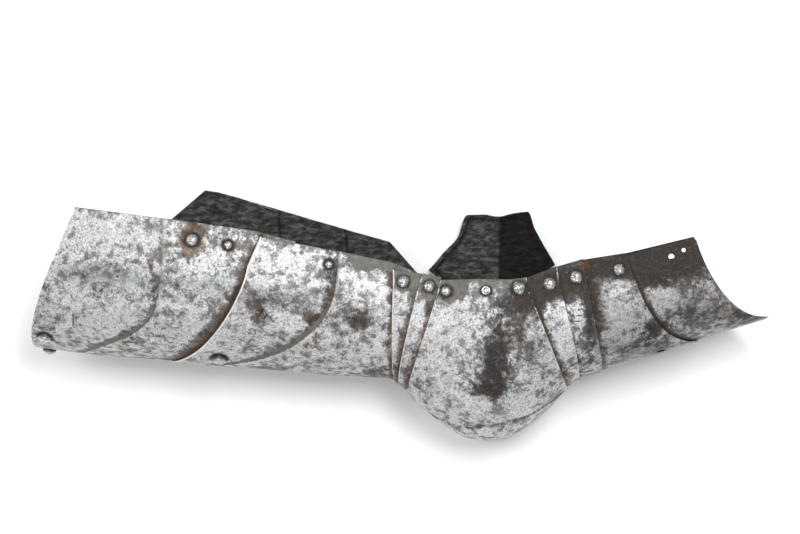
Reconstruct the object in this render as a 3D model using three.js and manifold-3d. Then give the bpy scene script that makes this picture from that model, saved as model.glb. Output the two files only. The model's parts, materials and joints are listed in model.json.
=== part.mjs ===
// Armour for one thigh, knee and upper shin, in lapped steel plates, lying on its outer side.
// Lengths are millimetres and angles degrees. The plates are laid out in the frame of the leg:
// X runs to the foot, Y to the outer side of the leg and Z to its back. The whole is then laid down.

import * as THREE from 'three';
import { mergeVertices } from 'three/addons/utils/BufferGeometryUtils.js';
import Module from 'manifold-3d';

const wasm = await Module();
wasm.setup();

// Driving dimensions
const SHEET = 1.5; // wall of every plate
const PLAY = 0.35; // running gap between two plates that lap
const LAP = SHEET + PLAY; // step from the face of a plate to the face of the one under it
const KNEE_HALF = 63; // half width of the knee plate at its pivots
const ROUNDNESS = 3; // exponent of the rounded section around the pivots
const THIGH_TILT = -5.4; // slope of the thigh against X
const SHIN_TILT = 16.8; // slope of the shin against X
const CREASE_RISE = 2.2; // height of the step that is embossed across each thigh plate
const CREASE_FADE = 0.75; // share of that step that is gone at the front of the leg
const FRONT_STEPS = 10; // facets from the side of a plate to its front
const WING_CURVE = 2.2; // how late the side wing spreads beyond the knee plate

// How the whole lies on the floor: on the outer wall of the thigh and the outer side of the knee
const LIE_ROLL = -79.5;
const LIE_PITCH = 1.0;

// Rivets
const SHANK_RADIUS = 2.1;
const HOLE_RADIUS = 2.75;
const RIVET_SIDES = 8;
const HOLE_SIDES = 8;
const DRILL_LENGTH = 24;
const RIVET_PLAY = 0.3; // gap between a rivet and the plates it holds
const BURR_RADIUS = 4.2;
const BURR_HEIGHT = 1.1;
const SHOULDER_WIDTH = 0.7; // where the dome of a head turns flat, as a share of its radius
const SHOULDER_HEIGHT = 0.8; // and of its height

// Pivots, one axis across the leg through both sides for each row
const PIVOTS = {
  cuisse: { x: -70.4, z: -2.2 },
  upperOuter: { x: -49.1, z: -6.5 },
  upperInner: { x: -35.2, z: -10.7 },
  lowerInner: { x: 24.5, z: -8.6 },
  lowerOuter: { x: 49.5, z: -5.0 },
  shin: { x: 71.1, z: 0.3 },
  shinEnd: { x: 106.0, z: 6.7 },
};

// Radius of the outer face of a plate around a pivot, where the next plate runs over it
const RUN_RADIUS = {
  cuisse: 77.1,
  upperOuter: 81.0,
  upperInner: 84.8,
  lowerInner: 84.9,
  lowerOuter: 75.65,
  shin: 74.6,
};

// Half widths step in by one lap for each plate away from the knee
const HALF_1 = KNEE_HALF - LAP;
const HALF_2 = HALF_1 - LAP;
const HALF_3 = HALF_2 - LAP;

const MERGE = 1e-4; // corners closer than this are one corner
const SPOT_STEP = 0.5; // distance of the points that give the slope of a face
const SPOT_REACH = 60; // how far behind the sides a spot may lie
const SEAT_REACH = 8; // how far a plate's face may lie from its plain form

const STEEL = { color: 0xa9aaa8, roughness: 0.42, metalness: 0.85 };
const DARK_STEEL = { color: 0x5c5751, roughness: 0.55, metalness: 0.8 };
const RIVET_STEEL = { color: 0xc4c5c4, roughness: 0.35, metalness: 0.9 };

const rad = THREE.MathUtils.degToRad;
const lerp = THREE.MathUtils.lerp;

// Rows of a table as objects keyed by the names of its columns
function table(columns, rows) {
  return rows.map((row) => Object.fromEntries(columns.map((name, i) => [name, row[i]])));
}

// The row between two rows of a table, every number of it
function between(a, b, t) {
  const mixed = {};
  for (const key of Object.keys(a)) {
    mixed[key] = typeof a[key] === 'number' ? lerp(a[key], b[key], t) : a[key];
  }
  return mixed;
}

function lookUp(rows, key, value) {
  const last = rows.length - 1;
  if (value <= rows[0][key]) return rows[0];
  if (value >= rows[last][key]) return rows[last];
  const next = rows.findIndex((row) => row[key] > value);
  const [a, b] = [rows[next - 1], rows[next]];
  return between(a, b, (value - a[key]) / (b[key] - a[key]));
}

// Section of the thigh at a station along it, measured from the pivot of the cuisse to the foot
const THIGH = table(
  ['at', 'radius', 'half', 'round'],
  [
    [-330, 78.5, 85, 2.1],
    [-300, 80.0, 84, 2.1],
    [-266, 81.2, 82.5, 2.1],
    [-200, 80.7, 79, 2.15],
    [-156, 79.8, 75.5, 2.2],
    [-113, 78.8, 71, 2.3],
    [-50, 79.4, 62.5, 2.6],
    [-25, 78.2, 59, 2.8],
    [-12, RUN_RADIUS.cuisse, HALF_3, ROUNDNESS],
  ],
);
const THIGH_BEND_FROM = -8; // the face turns round the pivot from here on
const THIGH_BEND_EASE = 4;

function thighSection(at) {
  const { radius, half, round } = lookUp(THIGH, 'at', at);
  const past = THIGH_BEND_FROM - at;
  const bend = past > 0 ? THIGH_BEND_FROM - THIGH_BEND_EASE * Math.tanh(past / THIGH_BEND_EASE) : at;
  return { radius, half, round, bend };
}

// Section of the shin at a station along it, measured from the pivot of the shin plate to the foot
const SHIN = table(
  ['at', 'radius', 'half', 'round'],
  [
    [0, RUN_RADIUS.shin, HALF_3, ROUNDNESS],
    [25, 75.2, HALF_3, 2.8],
    [100, 75.9, 56.5, 2.6],
    [145, 76, 55.5, 2.5],
  ],
);

function shinSection(at) {
  const { radius, half, round } = lookUp(SHIN, 'at', at);
  return { radius, half, round, bend: Math.min(at, 0) };
}

// A lame is turned round its pivot, so its section is the same wherever it is cut
function lameSection(at, rib) {
  return { radius: rib.radius, half: rib.half, round: rib.round, bend: at };
}

// Tables of ribs. A rib crosses the leg from its inner rear corner round the front to the outer one.
// atInner, atFront and atOuter: how far along the leg it passes the inner side, front and outer side
// sweep: above 1 where it runs to the front late, flat: above 1 where it is square to the leg there
// rise: how far it stands over the plain form, steps: facets to the next rib
// innerX, innerZ, outerX, outerZ: its two rear corners
const RIB_COLUMNS = [
  'atInner', 'atFront', 'atOuter', 'sweep', 'flat', 'rise',
  'innerX', 'innerZ', 'outerX', 'outerZ', 'steps',
];

const CUISSE_TOP_RIBS = table(RIB_COLUMNS, [
  [-284, -310, -266, 1, 1.8, -LAP, -339, 59, -252.5, 92.3, 4],
  [-198.5, -267, -196, 5.6, 2, -LAP, -267.6, 49.6, -240, 90.3, 1],
  [-196.5, -264, -194, 5.6, 2, CREASE_RISE - LAP, -265.6, 49.3, -238, 89.8, 3],
  [-137, -215, -149, 1.3, 1, -LAP, -193, 39.5, -222, 85, 2],
  [-98, -140, -112, 1.3, 1, -LAP, -158, 30.5, -187, 72.5, 0],
]);

const CUISSE_MAIN_RIBS = table(RIB_COLUMNS, [
  [-128, -193, -140, 1.4, 1, 0, -187.3, 34.3, -216.7, 83.4, 4],
  [-55, -157, -55, 1.8, 1, 0, -123.6, 22.6, -128.6, 55.8, 1],
  [-53, -154, -53, 1.8, 1, CREASE_RISE, -121.6, 22.2, -126.6, 55.2, 3],
  [-14, -12, -14, 1, 1, 0, -82.3, 14.6, -90, 44, 3],
  [9, 18, 9, 1, 1, 0, -60, 6, -64, 14, 0],
]);

const SHIN_PLATE_RIBS = table(RIB_COLUMNS, [
  [-9, -19.7, -9, 1, 1, 0, 61, 9, 61, 10, 2],
  [9, 0, 9, 1, 1, 0, 77, 15, 77, 18, 4],
  [45.5, 82.7, 45.5, 2, 1, 0, 113.6, 20.5, 113.6, 24, 0],
]);

const END_DROP = 0.35; // the end plate lies a little loose under the shin plate
const SHIN_END_RIBS = table(RIB_COLUMNS, [
  [23.3, 30.5, 23.3, 1, 1, -LAP - END_DROP, 92, 16, 92, 18, 2],
  [47, 60, 47, 1.5, 1, -LAP - END_DROP, 115, 21, 115, 22, 4],
  [103, 144, 103, 1.6, 1, -LAP - END_DROP, 167.1, 33.5, 163, 29, 0],
]);

// Ribs of the lames. x, z and tilt: pivot and lean of the rib, at and atFront: how far it passes
// before or behind that pivot at the sides and at the front
const LAME_COLUMNS = [
  'x', 'z', 'tilt', 'at', 'atFront', 'radius', 'half',
  'innerX', 'innerZ', 'outerX', 'outerZ', 'steps',
];

// A row of such a table for a rib that leans round a pivot
function lameRow(pivot, ...rest) {
  return [PIVOTS[pivot].x, PIVOTS[pivot].z, ...rest];
}

const { cuisse: RUN_C, upperOuter: RUN_U2, upperInner: RUN_U1 } = RUN_RADIUS;
const { lowerInner: RUN_L1, lowerOuter: RUN_L2, shin: RUN_G } = RUN_RADIUS;

const UPPER_OUTER_RIBS = table(LAME_COLUMNS, [
  lameRow('cuisse', -2, -8.6, -8.3, RUN_C + LAP, HALF_2, -79.3, 8, -80, 10, 2),
  lameRow('upperOuter', -14.7, -8.6, -7, RUN_U2, HALF_2, -54.5, 4.2, -56, 6, 3),
  lameRow('upperOuter', -12, 9, 8.5, RUN_U2, HALF_2, -39, 1, -39, 2, 0),
]);

const UPPER_INNER_RIBS = table(LAME_COLUMNS, [
  lameRow('upperOuter', -14.7, -8.6, -7.8, RUN_U2 + LAP, HALF_1, -54, 4.7, -55.5, 6.5, 2),
  lameRow('upperInner', -16, -6.5, -12, RUN_U1, HALF_1, -40.5, -1.2, -42, 0, 3),
  lameRow('upperInner', -10, 9, 0, RUN_U1, HALF_1, -26, -2.2, -26, -2, 0),
]);

const LOWER_INNER_RIBS = table(LAME_COLUMNS, [
  lameRow('lowerInner', 12, -9, 0, RUN_L1, HALF_1, 15.5, -2.4, 15.5, -2, 3),
  lameRow('lowerInner', 21.5, 6, 6, RUN_L1, HALF_1, 31, 0, 33, 1, 2),
  lameRow('lowerOuter', 16, 8.1, 1.9, RUN_L2 + LAP, HALF_1, 55.6, 9.6, 57, 12, 0),
]);

const LOWER_OUTER_RIBS = table(LAME_COLUMNS, [
  lameRow('lowerOuter', 4, -9, 0, RUN_L2, HALF_2, 40, 3.6, 40, 4, 3),
  lameRow('lowerOuter', 16, 7, 1, RUN_L2, HALF_2, 55.6, 9.2, 57, 11.5, 1),
  lameRow('shin', 12, -4, -6, RUN_G + LAP, HALF_2, 66, 12.3, 68, 14.8, 2),
  lameRow('shin', 12, 8.5, 5, RUN_G + LAP, HALF_2, 76.8, 15.4, 79, 18, 0),
]);

// The knee plate: a bell whose spokes run from the line of the pivots to its outline in front
// side: where the spoke starts, frontX and frontZ: where it ends, flare: how far the wing spreads
const KNEE_COLUMNS = [
  'side', 'frontX', 'frontZ', 'half', 'round', 'innerX', 'innerZ', 'outerX', 'outerZ', 'flare',
];
const KNEE_SPOKES = table(KNEE_COLUMNS, [
  [-36.5, -65.5, -95.5, 63, 2.9, -35.5, -1.4, -51, 27, 5],
  [-31, -56, -104.5, 63, 2.8, -30, -1.3, -44.5, 35, 6],
  [-25, -46, -113, 63.3, 2.7, -24, -1.2, -32, 48.5, 6.5],
  [-19, -35.5, -120.3, 63.8, 2.6, -18, -1.1, -23.5, 68, 7],
  [-12, -20, -128, 64.2, 2.5, -12, -1, -9.5, 68, 4.5],
  [-5, -6, -130.6, 64.4, 2.5, -5, -1, 2.5, 65.7, -2],
  [2, 8, -129, 64.2, 2.5, 2, -1.1, 13.8, 68.6, 4],
  [9, 22, -123, 63.8, 2.6, 9, -1.3, 28, 70.5, 7],
  [15.5, 34, -114.5, 63.3, 2.7, 15.5, -1.4, 34, 56, 6.5],
  [21, 45.5, -104, 63, 2.8, 21, -1, 42, 40.8, 6],
  [26, 54.5, -95.2, 63, 2.9, 26.5, -0.5, 47.5, 31.5, 5],
]);
const KNEE_EDGE_FLARE = 4;

function kneeSpoke({ side, frontX, frontZ, ...rest }) {
  const { upperInner, lowerInner } = PIVOTS;
  const share = (side - upperInner.x) / (lowerInner.x - upperInner.x);
  const z = lerp(upperInner.z, lowerInner.z, share);
  const tilt = THREE.MathUtils.radToDeg(Math.atan2(frontX - side, z - frontZ));
  const radius = Math.hypot(frontX - side, frontZ - z);
  return { x: side, z, tilt, at: 0, atFront: 0, radius, steps: 1, ...rest };
}

function kneeEdge(row) {
  return { ...table(LAME_COLUMNS, [row])[0], round: ROUNDNESS, flare: KNEE_EDGE_FLARE };
}

const KNEE_UPPER_EDGE = lameRow(
  'upperInner', -16, -6.5, -13, RUN_U1 + LAP, KNEE_HALF, -40.1, -1.6, -57.5, 19.7, 1,
);
const KNEE_LOWER_EDGE = lameRow(
  'lowerInner', 21.5, 6.9, 6.9, RUN_L1 + LAP, KNEE_HALF, 31, 0.5, 52, 23.2, 0,
);
const KNEE_RIBS = [
  kneeEdge(KNEE_UPPER_EDGE),
  ...KNEE_SPOKES.map(kneeSpoke),
  kneeEdge(KNEE_LOWER_EDGE),
];

// Ribs of one form, with the columns that its table leaves out
function thighRib(row, floor = 0) {
  return { ...PIVOTS.cuisse, tilt: THIGH_TILT, flare: 0, fade: CREASE_FADE, floor, ...row };
}

function shinRib(row) {
  return { ...PIVOTS.shin, tilt: SHIN_TILT, flare: 0, fade: 0, floor: 0, ...row };
}

function lameRib(row) {
  return {
    round: ROUNDNESS, flare: 0, ...row,
    atInner: row.at, atOuter: row.at, sweep: 1, flat: 1, rise: 0, fade: 0, floor: 0,
  };
}

// Stations across a rib, from the inner rear corner round the front to the outer rear corner
function stationsAcross(innerSteps, outerSteps) {
  const stations = [];
  for (let i = innerSteps; i > 0; i -= 1) {
    stations.push({ side: -1, turn: 90, back: i / innerSteps });
  }
  for (let i = -FRONT_STEPS; i <= FRONT_STEPS; i += 1) {
    stations.push({ side: i < 0 ? -1 : 1, turn: (90 * Math.abs(i)) / FRONT_STEPS, back: 0 });
  }
  for (let i = 1; i <= outerSteps; i += 1) {
    stations.push({ side: 1, turn: 90, back: i / outerSteps });
  }
  return stations;
}

// Point of the plain form on a rib, in the frame of the leg
function ribPoint(rib, station, section, curve = 1) {
  const { side, turn, back } = station;
  const lean = rad(rib.tilt);
  const along = new THREE.Vector3(Math.cos(lean), 0, Math.sin(lean));
  const forward = new THREE.Vector3(Math.sin(lean), 0, -Math.cos(lean));
  const atSide = side < 0 ? rib.atInner : rib.atOuter;
  const share = (1 - (turn / 90) ** rib.flat) ** rib.sweep;
  const at = lerp(atSide, rib.atFront, share);
  const { radius, half, round, bend } = section(at, rib);
  const depth = Math.sqrt(radius ** 2 - bend ** 2) * Math.cos(rad(turn)) ** (2 / round);
  const ratio = Math.min(Math.hypot(depth, bend) / radius, 1);
  const point = new THREE.Vector3(rib.x, 0, rib.z)
    .addScaledVector(along, at)
    .addScaledVector(forward, depth);
  point.y = side * half * (1 - ratio ** round) ** (1 / round);
  if (back === 0) return point;
  const corner = new THREE.Vector3(
    side < 0 ? rib.innerX : rib.outerX, 0, side < 0 ? rib.innerZ : rib.outerZ,
  );
  const cornerAt = corner.clone().sub(new THREE.Vector3(rib.x, 0, rib.z)).dot(along);
  const spread = side < 0 ? 0 : rib.flare;
  corner.y = side * (section(cornerAt, rib).half + spread);
  const spreading = back ** (side < 0 ? 1 : curve);
  return new THREE.Vector3(
    lerp(point.x, corner.x, spreading),
    lerp(point.y, corner.y, spreading),
    lerp(point.z, corner.z, back),
  );
}

// An embossed step is crisp at the sides and dies away to the front
function riseAt(rib, turn) {
  const step = Math.max(rib.rise - rib.floor, 0);
  return rib.rise - step * rib.fade * Math.cos(rad(turn));
}

function fillRibs(rows) {
  const ribs = [];
  rows.forEach((row, i) => {
    for (let k = 0; k < row.steps; k += 1) {
      ribs.push(between(row, rows[i + 1], k / row.steps));
    }
  });
  ribs.push(rows[rows.length - 1]);
  return ribs;
}

// A closed wall between the outer face of the ribs and the same face one sheet further in
function plateShell(ribs, stations, section, curve) {
  const base = ribs.map((rib) => stations.map((station) => ribPoint(rib, station, section, curve)));
  const rows = ribs.length;
  const cols = stations.length;
  const position = [];
  for (const layer of [0, SHEET]) {
    for (let i = 0; i < rows; i += 1) {
      for (let j = 0; j < cols; j += 1) {
        const alongLeg = base[Math.min(i + 1, rows - 1)][j].clone().sub(base[Math.max(i - 1, 0)][j]);
        const across = base[i][Math.min(j + 1, cols - 1)].clone().sub(base[i][Math.max(j - 1, 0)]);
        const normal = across.cross(alongLeg).normalize();
        const rise = riseAt(ribs[i], stations[j].turn);
        position.push(...base[i][j].clone().addScaledVector(normal, rise - layer).toArray());
      }
    }
  }
  const at = (layer, i, j) => (layer * rows + i) * cols + j;
  const index = [];
  const quad = (a, b, c, d) => index.push(a, b, c, a, c, d);
  for (let i = 0; i < rows - 1; i += 1) {
    for (let j = 0; j < cols - 1; j += 1) {
      quad(at(0, i, j), at(0, i, j + 1), at(0, i + 1, j + 1), at(0, i + 1, j));
      quad(at(1, i, j), at(1, i + 1, j), at(1, i + 1, j + 1), at(1, i, j + 1));
    }
  }
  for (let j = 0; j < cols - 1; j += 1) {
    quad(at(0, 0, j), at(1, 0, j), at(1, 0, j + 1), at(0, 0, j + 1));
    quad(at(0, rows - 1, j), at(0, rows - 1, j + 1), at(1, rows - 1, j + 1), at(1, rows - 1, j));
  }
  for (let i = 0; i < rows - 1; i += 1) {
    quad(at(0, i, 0), at(0, i + 1, 0), at(1, i + 1, 0), at(1, i, 0));
    quad(at(0, i, cols - 1), at(1, i, cols - 1), at(1, i + 1, cols - 1), at(0, i + 1, cols - 1));
  }
  return toSolid(position, index);
}

function toSolid(position, index) {
  return new wasm.Manifold(
    new wasm.Mesh({
      numProp: 3,
      vertProperties: Float32Array.from(position),
      triVerts: Uint32Array.from(index),
    }),
  );
}

// A three.js geometry as a solid, with its seam closed and its flat triangles dropped
function geometrySolid(geometry) {
  geometry.deleteAttribute('normal');
  geometry.deleteAttribute('uv');
  const merged = mergeVertices(geometry, MERGE);
  const index = merged.getIndex().array;
  const kept = [];
  for (let i = 0; i < index.length; i += 3) {
    const [a, b, c] = [index[i], index[i + 1], index[i + 2]];
    if (a !== b && b !== c && c !== a) kept.push(a, b, c);
  }
  return toSolid(merged.getAttribute('position').array, kept);
}

function solidGeometry(solid) {
  const mesh = solid.getMesh();
  const geometry = new THREE.BufferGeometry();
  geometry.setAttribute('position', new THREE.BufferAttribute(mesh.vertProperties, mesh.numProp));
  geometry.setIndex(new THREE.BufferAttribute(mesh.triVerts, 1));
  geometry.computeVertexNormals();
  return geometry;
}

// Turns a geometry made along Y to point along an axis, and puts it at a place
function aim(geometry, place, axis) {
  const turn = new THREE.Quaternion().setFromUnitVectors(new THREE.Vector3(0, 1, 0), axis);
  return geometry.applyQuaternion(turn).translate(place.x, place.y, place.z);
}

function drill({ place, axis, radius }) {
  const bore = new THREE.CylinderGeometry(radius, radius, DRILL_LENGTH, HOLE_SIDES);
  return geometrySolid(aim(bore, place, axis));
}

// A rivet with a domed head, a shank and a burr inside, its plates' outer face at height 0
function rivetSolid({ place, axis, stack, head, dome }) {
  const burrTop = -stack - RIVET_PLAY;
  const profile = [
    [0, burrTop - BURR_HEIGHT],
    [BURR_RADIUS, burrTop - BURR_HEIGHT],
    [BURR_RADIUS, burrTop],
    [SHANK_RADIUS, burrTop],
    [SHANK_RADIUS, RIVET_PLAY],
    [head, RIVET_PLAY],
    [head * SHOULDER_WIDTH, RIVET_PLAY + dome * SHOULDER_HEIGHT],
    [0, RIVET_PLAY + dome],
  ].map(([radius, height]) => new THREE.Vector2(radius, height));
  return geometrySolid(aim(new THREE.LatheGeometry(profile, RIVET_SIDES), place, axis));
}

// A place on the face of a form, and the way the face looks there
// at: station along the leg, side: -1 inner or 1 outer, turn: 90 at the side and 0 at the front,
// back: distance behind the side
function spotOn(makeRib, section, { at, side, turn, back }) {
  const pointAt = (shiftAt, shiftAcross) => {
    const signed = side * turn + shiftAcross * SPOT_STEP;
    const nearSide = turn < 90 ? Math.sign(signed) || 1 : side;
    const rib = makeRib({ atInner: at, atFront: at, atOuter: at, sweep: 1, flat: 1 });
    for (const name of ['atInner', 'atFront', 'atOuter']) rib[name] += shiftAt * SPOT_STEP;
    const reach = back + side * shiftAcross * SPOT_STEP;
    const lean = rad(rib.tilt);
    const cornerX = rib.x + rib.atInner * Math.cos(lean) - SPOT_REACH * Math.sin(lean);
    const cornerZ = rib.z + rib.atInner * Math.sin(lean) + SPOT_REACH * Math.cos(lean);
    Object.assign(rib, { innerX: cornerX, innerZ: cornerZ, outerX: cornerX, outerZ: cornerZ });
    const station = turn < 90
      ? { side: nearSide, turn: Math.abs(signed), back: 0 }
      : { side, turn: 90, back: reach / SPOT_REACH };
    return ribPoint(rib, station, section);
  };
  const across = pointAt(0, 1).sub(pointAt(0, -1));
  const alongLeg = pointAt(1, 0).sub(pointAt(-1, 0));
  const axis = across.cross(alongLeg).normalize();
  return { place: pointAt(0, 0), axis };
}

// The same spot brought to the real face of a plate
function seatOn(solid, { place, axis }) {
  const outside = place.clone().addScaledVector(axis, SEAT_REACH);
  const ray = new THREE.Raycaster(outside, axis.clone().negate(), 0, 2 * SEAT_REACH);
  const [hit] = ray.intersectObject(new THREE.Mesh(solidGeometry(solid)));
  return { place: hit.point, axis };
}

const PLAIN_STACK = SHEET;
const LAPPED_STACK = LAP + SHEET;
const JOIN_STACK = LAPPED_STACK + 0.8; // through both thigh plates, the outer one raised there
const END_STACK = LAPPED_STACK + END_DROP;
const SPOT_COLUMNS = ['name', 'plate', 'at', 'side', 'turn', 'back', 'stack', 'head', 'dome'];

// Rivets of the thigh plates that are not pivots
const THIGH_RIVETS = table(SPOT_COLUMNS, [
  ['cuisse_top_front_rivet_inner', 'cuisse_top', -295.6, -1, 26, 0, PLAIN_STACK, 5.8, 4.4],
  ['cuisse_top_front_rivet_outer', 'cuisse_top', -299.5, 1, 6, 0, PLAIN_STACK, 5.8, 4.4],
  ['cuisse_top_strap_rivet', 'cuisse_top', -174.9, -1, 90, 17.3, PLAIN_STACK, 5.4, 3.4],
  ['cuisse_top_buckle_rivet', 'cuisse_top', -144.9, -1, 90, 15.7, PLAIN_STACK, 3.6, 2.0],
  ['cuisse_main_strap_rivet', 'cuisse_main', -61.8, -1, 90, 7.7, PLAIN_STACK, 3.2, 1.8],
  ['cuisse_join_rivet_front', 'cuisse_main', -149, -1, 20, 0, JOIN_STACK, 6.2, 4.8],
  ['cuisse_join_rivet_outer', 'cuisse_main', -126, 1, 90, 20, JOIN_STACK, 4.4, 2.6],
]);

// Pivot rivets: the pivot, the outer of its two plates, what the shank passes through, and the head
const PIVOT_COLUMNS = ['name', 'pivot', 'plate', 'stack', 'head', 'dome'];
const PIVOT_RIVETS = table(PIVOT_COLUMNS, [
  ['cuisse_pivot', 'cuisse', 'upper_lame_outer', LAPPED_STACK, 5.3, 3.6],
  ['upper_outer_pivot', 'upperOuter', 'upper_lame_inner', LAPPED_STACK, 5.0, 3.6],
  ['upper_inner_pivot', 'upperInner', 'knee_plate', LAPPED_STACK, 5.4, 3.8],
  ['lower_inner_pivot', 'lowerInner', 'knee_plate', LAPPED_STACK, 5.6, 3.8],
  ['lower_outer_pivot', 'lowerOuter', 'lower_lame_inner', LAPPED_STACK, 5.6, 3.8],
  ['shin_pivot', 'shin', 'lower_lame_outer', LAPPED_STACK, 5.6, 3.8],
  ['shin_end_pivot', 'shinEnd', 'shin_plate', END_STACK, 5.0, 3.0],
]);
const KNEE_RIVET = { name: 'knee_plate_rivet', plate: 'knee_plate', head: 3.6, dome: 1.2 };
const KNEE_RIVET_SPOT = { x: -2.4, z: -10.9 };
const OUTER_HEAD = 4.4; // the heads on the outer side are plain and low
const OUTER_DOME = 2.4;

// Drilled holes that hold no rivet now
const EMPTY_COLUMNS = ['plate', 'at', 'side', 'turn', 'back', 'radius'];
const EMPTY_HOLES = table(EMPTY_COLUMNS, [
  ['shin_end_plate', 79.7, -1, 90, 6.9, 2.5],
  ['shin_end_plate', 90.8, -1, 90, 4.3, 1.8],
  ['shin_plate', 49.7, -1, 9.5, 0, 3.4],
  ['shin_end_plate', 49.7, -1, 9.5, 0, 2.2],
]);

// Plates from the hip to the foot: steps behind the inner and outer side, the pivots drilled through
// each, the rivets of another plate that pass through it, and how late its outer wing spreads
const PLATES = [
  {
    name: 'cuisse_top',
    ribs: CUISSE_TOP_RIBS.map((row) => thighRib(row, -LAP)),
    section: thighSection,
    steps: [2, 3],
    pivots: [],
    joins: ['cuisse_join_rivet_front', 'cuisse_join_rivet_outer'],
    steel: STEEL,
  },
  {
    name: 'cuisse_main',
    ribs: CUISSE_MAIN_RIBS.map((row) => thighRib(row)),
    section: thighSection,
    steps: [2, 3],
    pivots: ['cuisse'],
    steel: STEEL,
  },
  {
    name: 'upper_lame_outer',
    ribs: UPPER_OUTER_RIBS.map(lameRib),
    section: lameSection,
    steps: [1, 1],
    pivots: ['cuisse', 'upperOuter'],
    steel: STEEL,
  },
  {
    name: 'upper_lame_inner',
    ribs: UPPER_INNER_RIBS.map(lameRib),
    section: lameSection,
    steps: [1, 1],
    pivots: ['upperOuter', 'upperInner'],
    steel: STEEL,
  },
  {
    name: 'knee_plate',
    ribs: KNEE_RIBS.map(lameRib),
    section: lameSection,
    steps: [1, 4],
    pivots: ['upperInner', 'lowerInner'],
    curve: WING_CURVE,
    steel: STEEL,
  },
  {
    name: 'lower_lame_inner',
    ribs: LOWER_INNER_RIBS.map(lameRib),
    section: lameSection,
    steps: [1, 1],
    pivots: ['lowerInner', 'lowerOuter'],
    steel: STEEL,
  },
  {
    name: 'lower_lame_outer',
    ribs: LOWER_OUTER_RIBS.map(lameRib),
    section: lameSection,
    steps: [1, 1],
    pivots: ['lowerOuter', 'shin'],
    steel: STEEL,
  },
  {
    name: 'shin_plate',
    ribs: SHIN_PLATE_RIBS.map(shinRib),
    section: shinSection,
    steps: [1, 1],
    pivots: ['shin', 'shinEnd'],
    steel: DARK_STEEL,
  },
  {
    name: 'shin_end_plate',
    ribs: SHIN_END_RIBS.map(shinRib),
    section: shinSection,
    steps: [1, 1],
    pivots: ['shinEnd'],
    steel: DARK_STEEL,
  },
];

const shells = new Map();
for (const { name, ribs, section, steps, curve } of PLATES) {
  shells.set(name, plateShell(fillRibs(ribs), stationsAcross(...steps), section, curve));
}

const SIDES = [['inner', -1], ['outer', 1]];

function sideSpot({ x, z }, side) {
  return { place: new THREE.Vector3(x, side * KNEE_HALF, z), axis: new THREE.Vector3(0, side, 0) };
}

// The rivet of one pivot on one side, seated on the outer of its two plates
function pivotRivet({ name, pivot, plate, stack, head, dome }, [word, side]) {
  const low = { head: OUTER_HEAD, dome: OUTER_DOME };
  const seat = seatOn(shells.get(plate), sideSpot(PIVOTS[pivot], side));
  return { name: `${name}_${word}`, plate, stack, ...(side < 0 ? { head, dome } : low), ...seat };
}

function thighRivet(row) {
  return { ...row, ...seatOn(shells.get(row.plate), spotOn(thighRib, thighSection, row)) };
}

const pivotRivets = PIVOT_RIVETS.flatMap((row) => SIDES.map((side) => pivotRivet(row, side)));
const kneeSeat = seatOn(shells.get(KNEE_RIVET.plate), sideSpot(KNEE_RIVET_SPOT, -1));
const fixedRivets = [
  { ...KNEE_RIVET, stack: PLAIN_STACK, ...kneeSeat },
  ...THIGH_RIVETS.map(thighRivet),
];
const rivets = [...pivotRivets, ...fixedRivets];

// The holes of one plate: its pivots, its other rivets and its empty holes
function drillsOf({ name, pivots, joins = [] }) {
  const holes = [];
  for (const pivot of pivots) {
    for (const [, side] of SIDES) holes.push(sideSpot(PIVOTS[pivot], side));
  }
  for (const rivet of fixedRivets) {
    if (rivet.plate === name || joins.includes(rivet.name)) holes.push(rivet);
  }
  for (const { radius, ...spot } of EMPTY_HOLES.filter((hole) => hole.plate === name)) {
    holes.push({ ...spotOn(shinRib, shinSection, spot), radius });
  }
  return holes.map((hole) => ({ radius: HOLE_RADIUS, ...hole }));
}

function plateSolid(plate) {
  const shell = shells.get(plate.name);
  return drillsOf(plate).reduce((solid, hole) => solid.subtract(drill(hole)), shell);
}

function meshOf(name, solid, steel) {
  const mesh = new THREE.Mesh(solidGeometry(solid), new THREE.MeshStandardMaterial(steel));
  mesh.name = name;
  return mesh;
}

const leg = new THREE.Group();
for (const plate of PLATES) leg.add(meshOf(plate.name, plateSolid(plate), plate.steel));
for (const rivet of rivets) leg.add(meshOf(rivet.name, rivetSolid(rivet), RIVET_STEEL));

// Lays the armour down: rolled round X, then pitched round Y, its lowest point on the floor
leg.rotation.set(rad(LIE_ROLL), rad(LIE_PITCH), 0, 'YXZ');
leg.updateMatrixWorld(true);
const box = new THREE.Box3().setFromObject(leg, true);
const middle = box.getCenter(new THREE.Vector3());
leg.position.set(-middle.x, -middle.y, -box.min.z);

const legArmour = new THREE.Group();
legArmour.add(leg);
legArmour.updateMatrixWorld(true);

export default legArmour;
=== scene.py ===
# Looks of the leg armour: fine steel plates, rivets, worn and stained steel, a pale studio floor.
# The plates are laid out in the frame of the leg in millimetres: X runs to the foot, Y to the outer
# side of the leg and Z to its back. The tables of ribs are those of the solids. Only the fourth row
# of CUISSE_TOP_RIBS has another sweep and flatness, because the fine mesh would fold there.
import bpy
import json
import math
import numpy as np
from mathutils import Matrix, Vector


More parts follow.
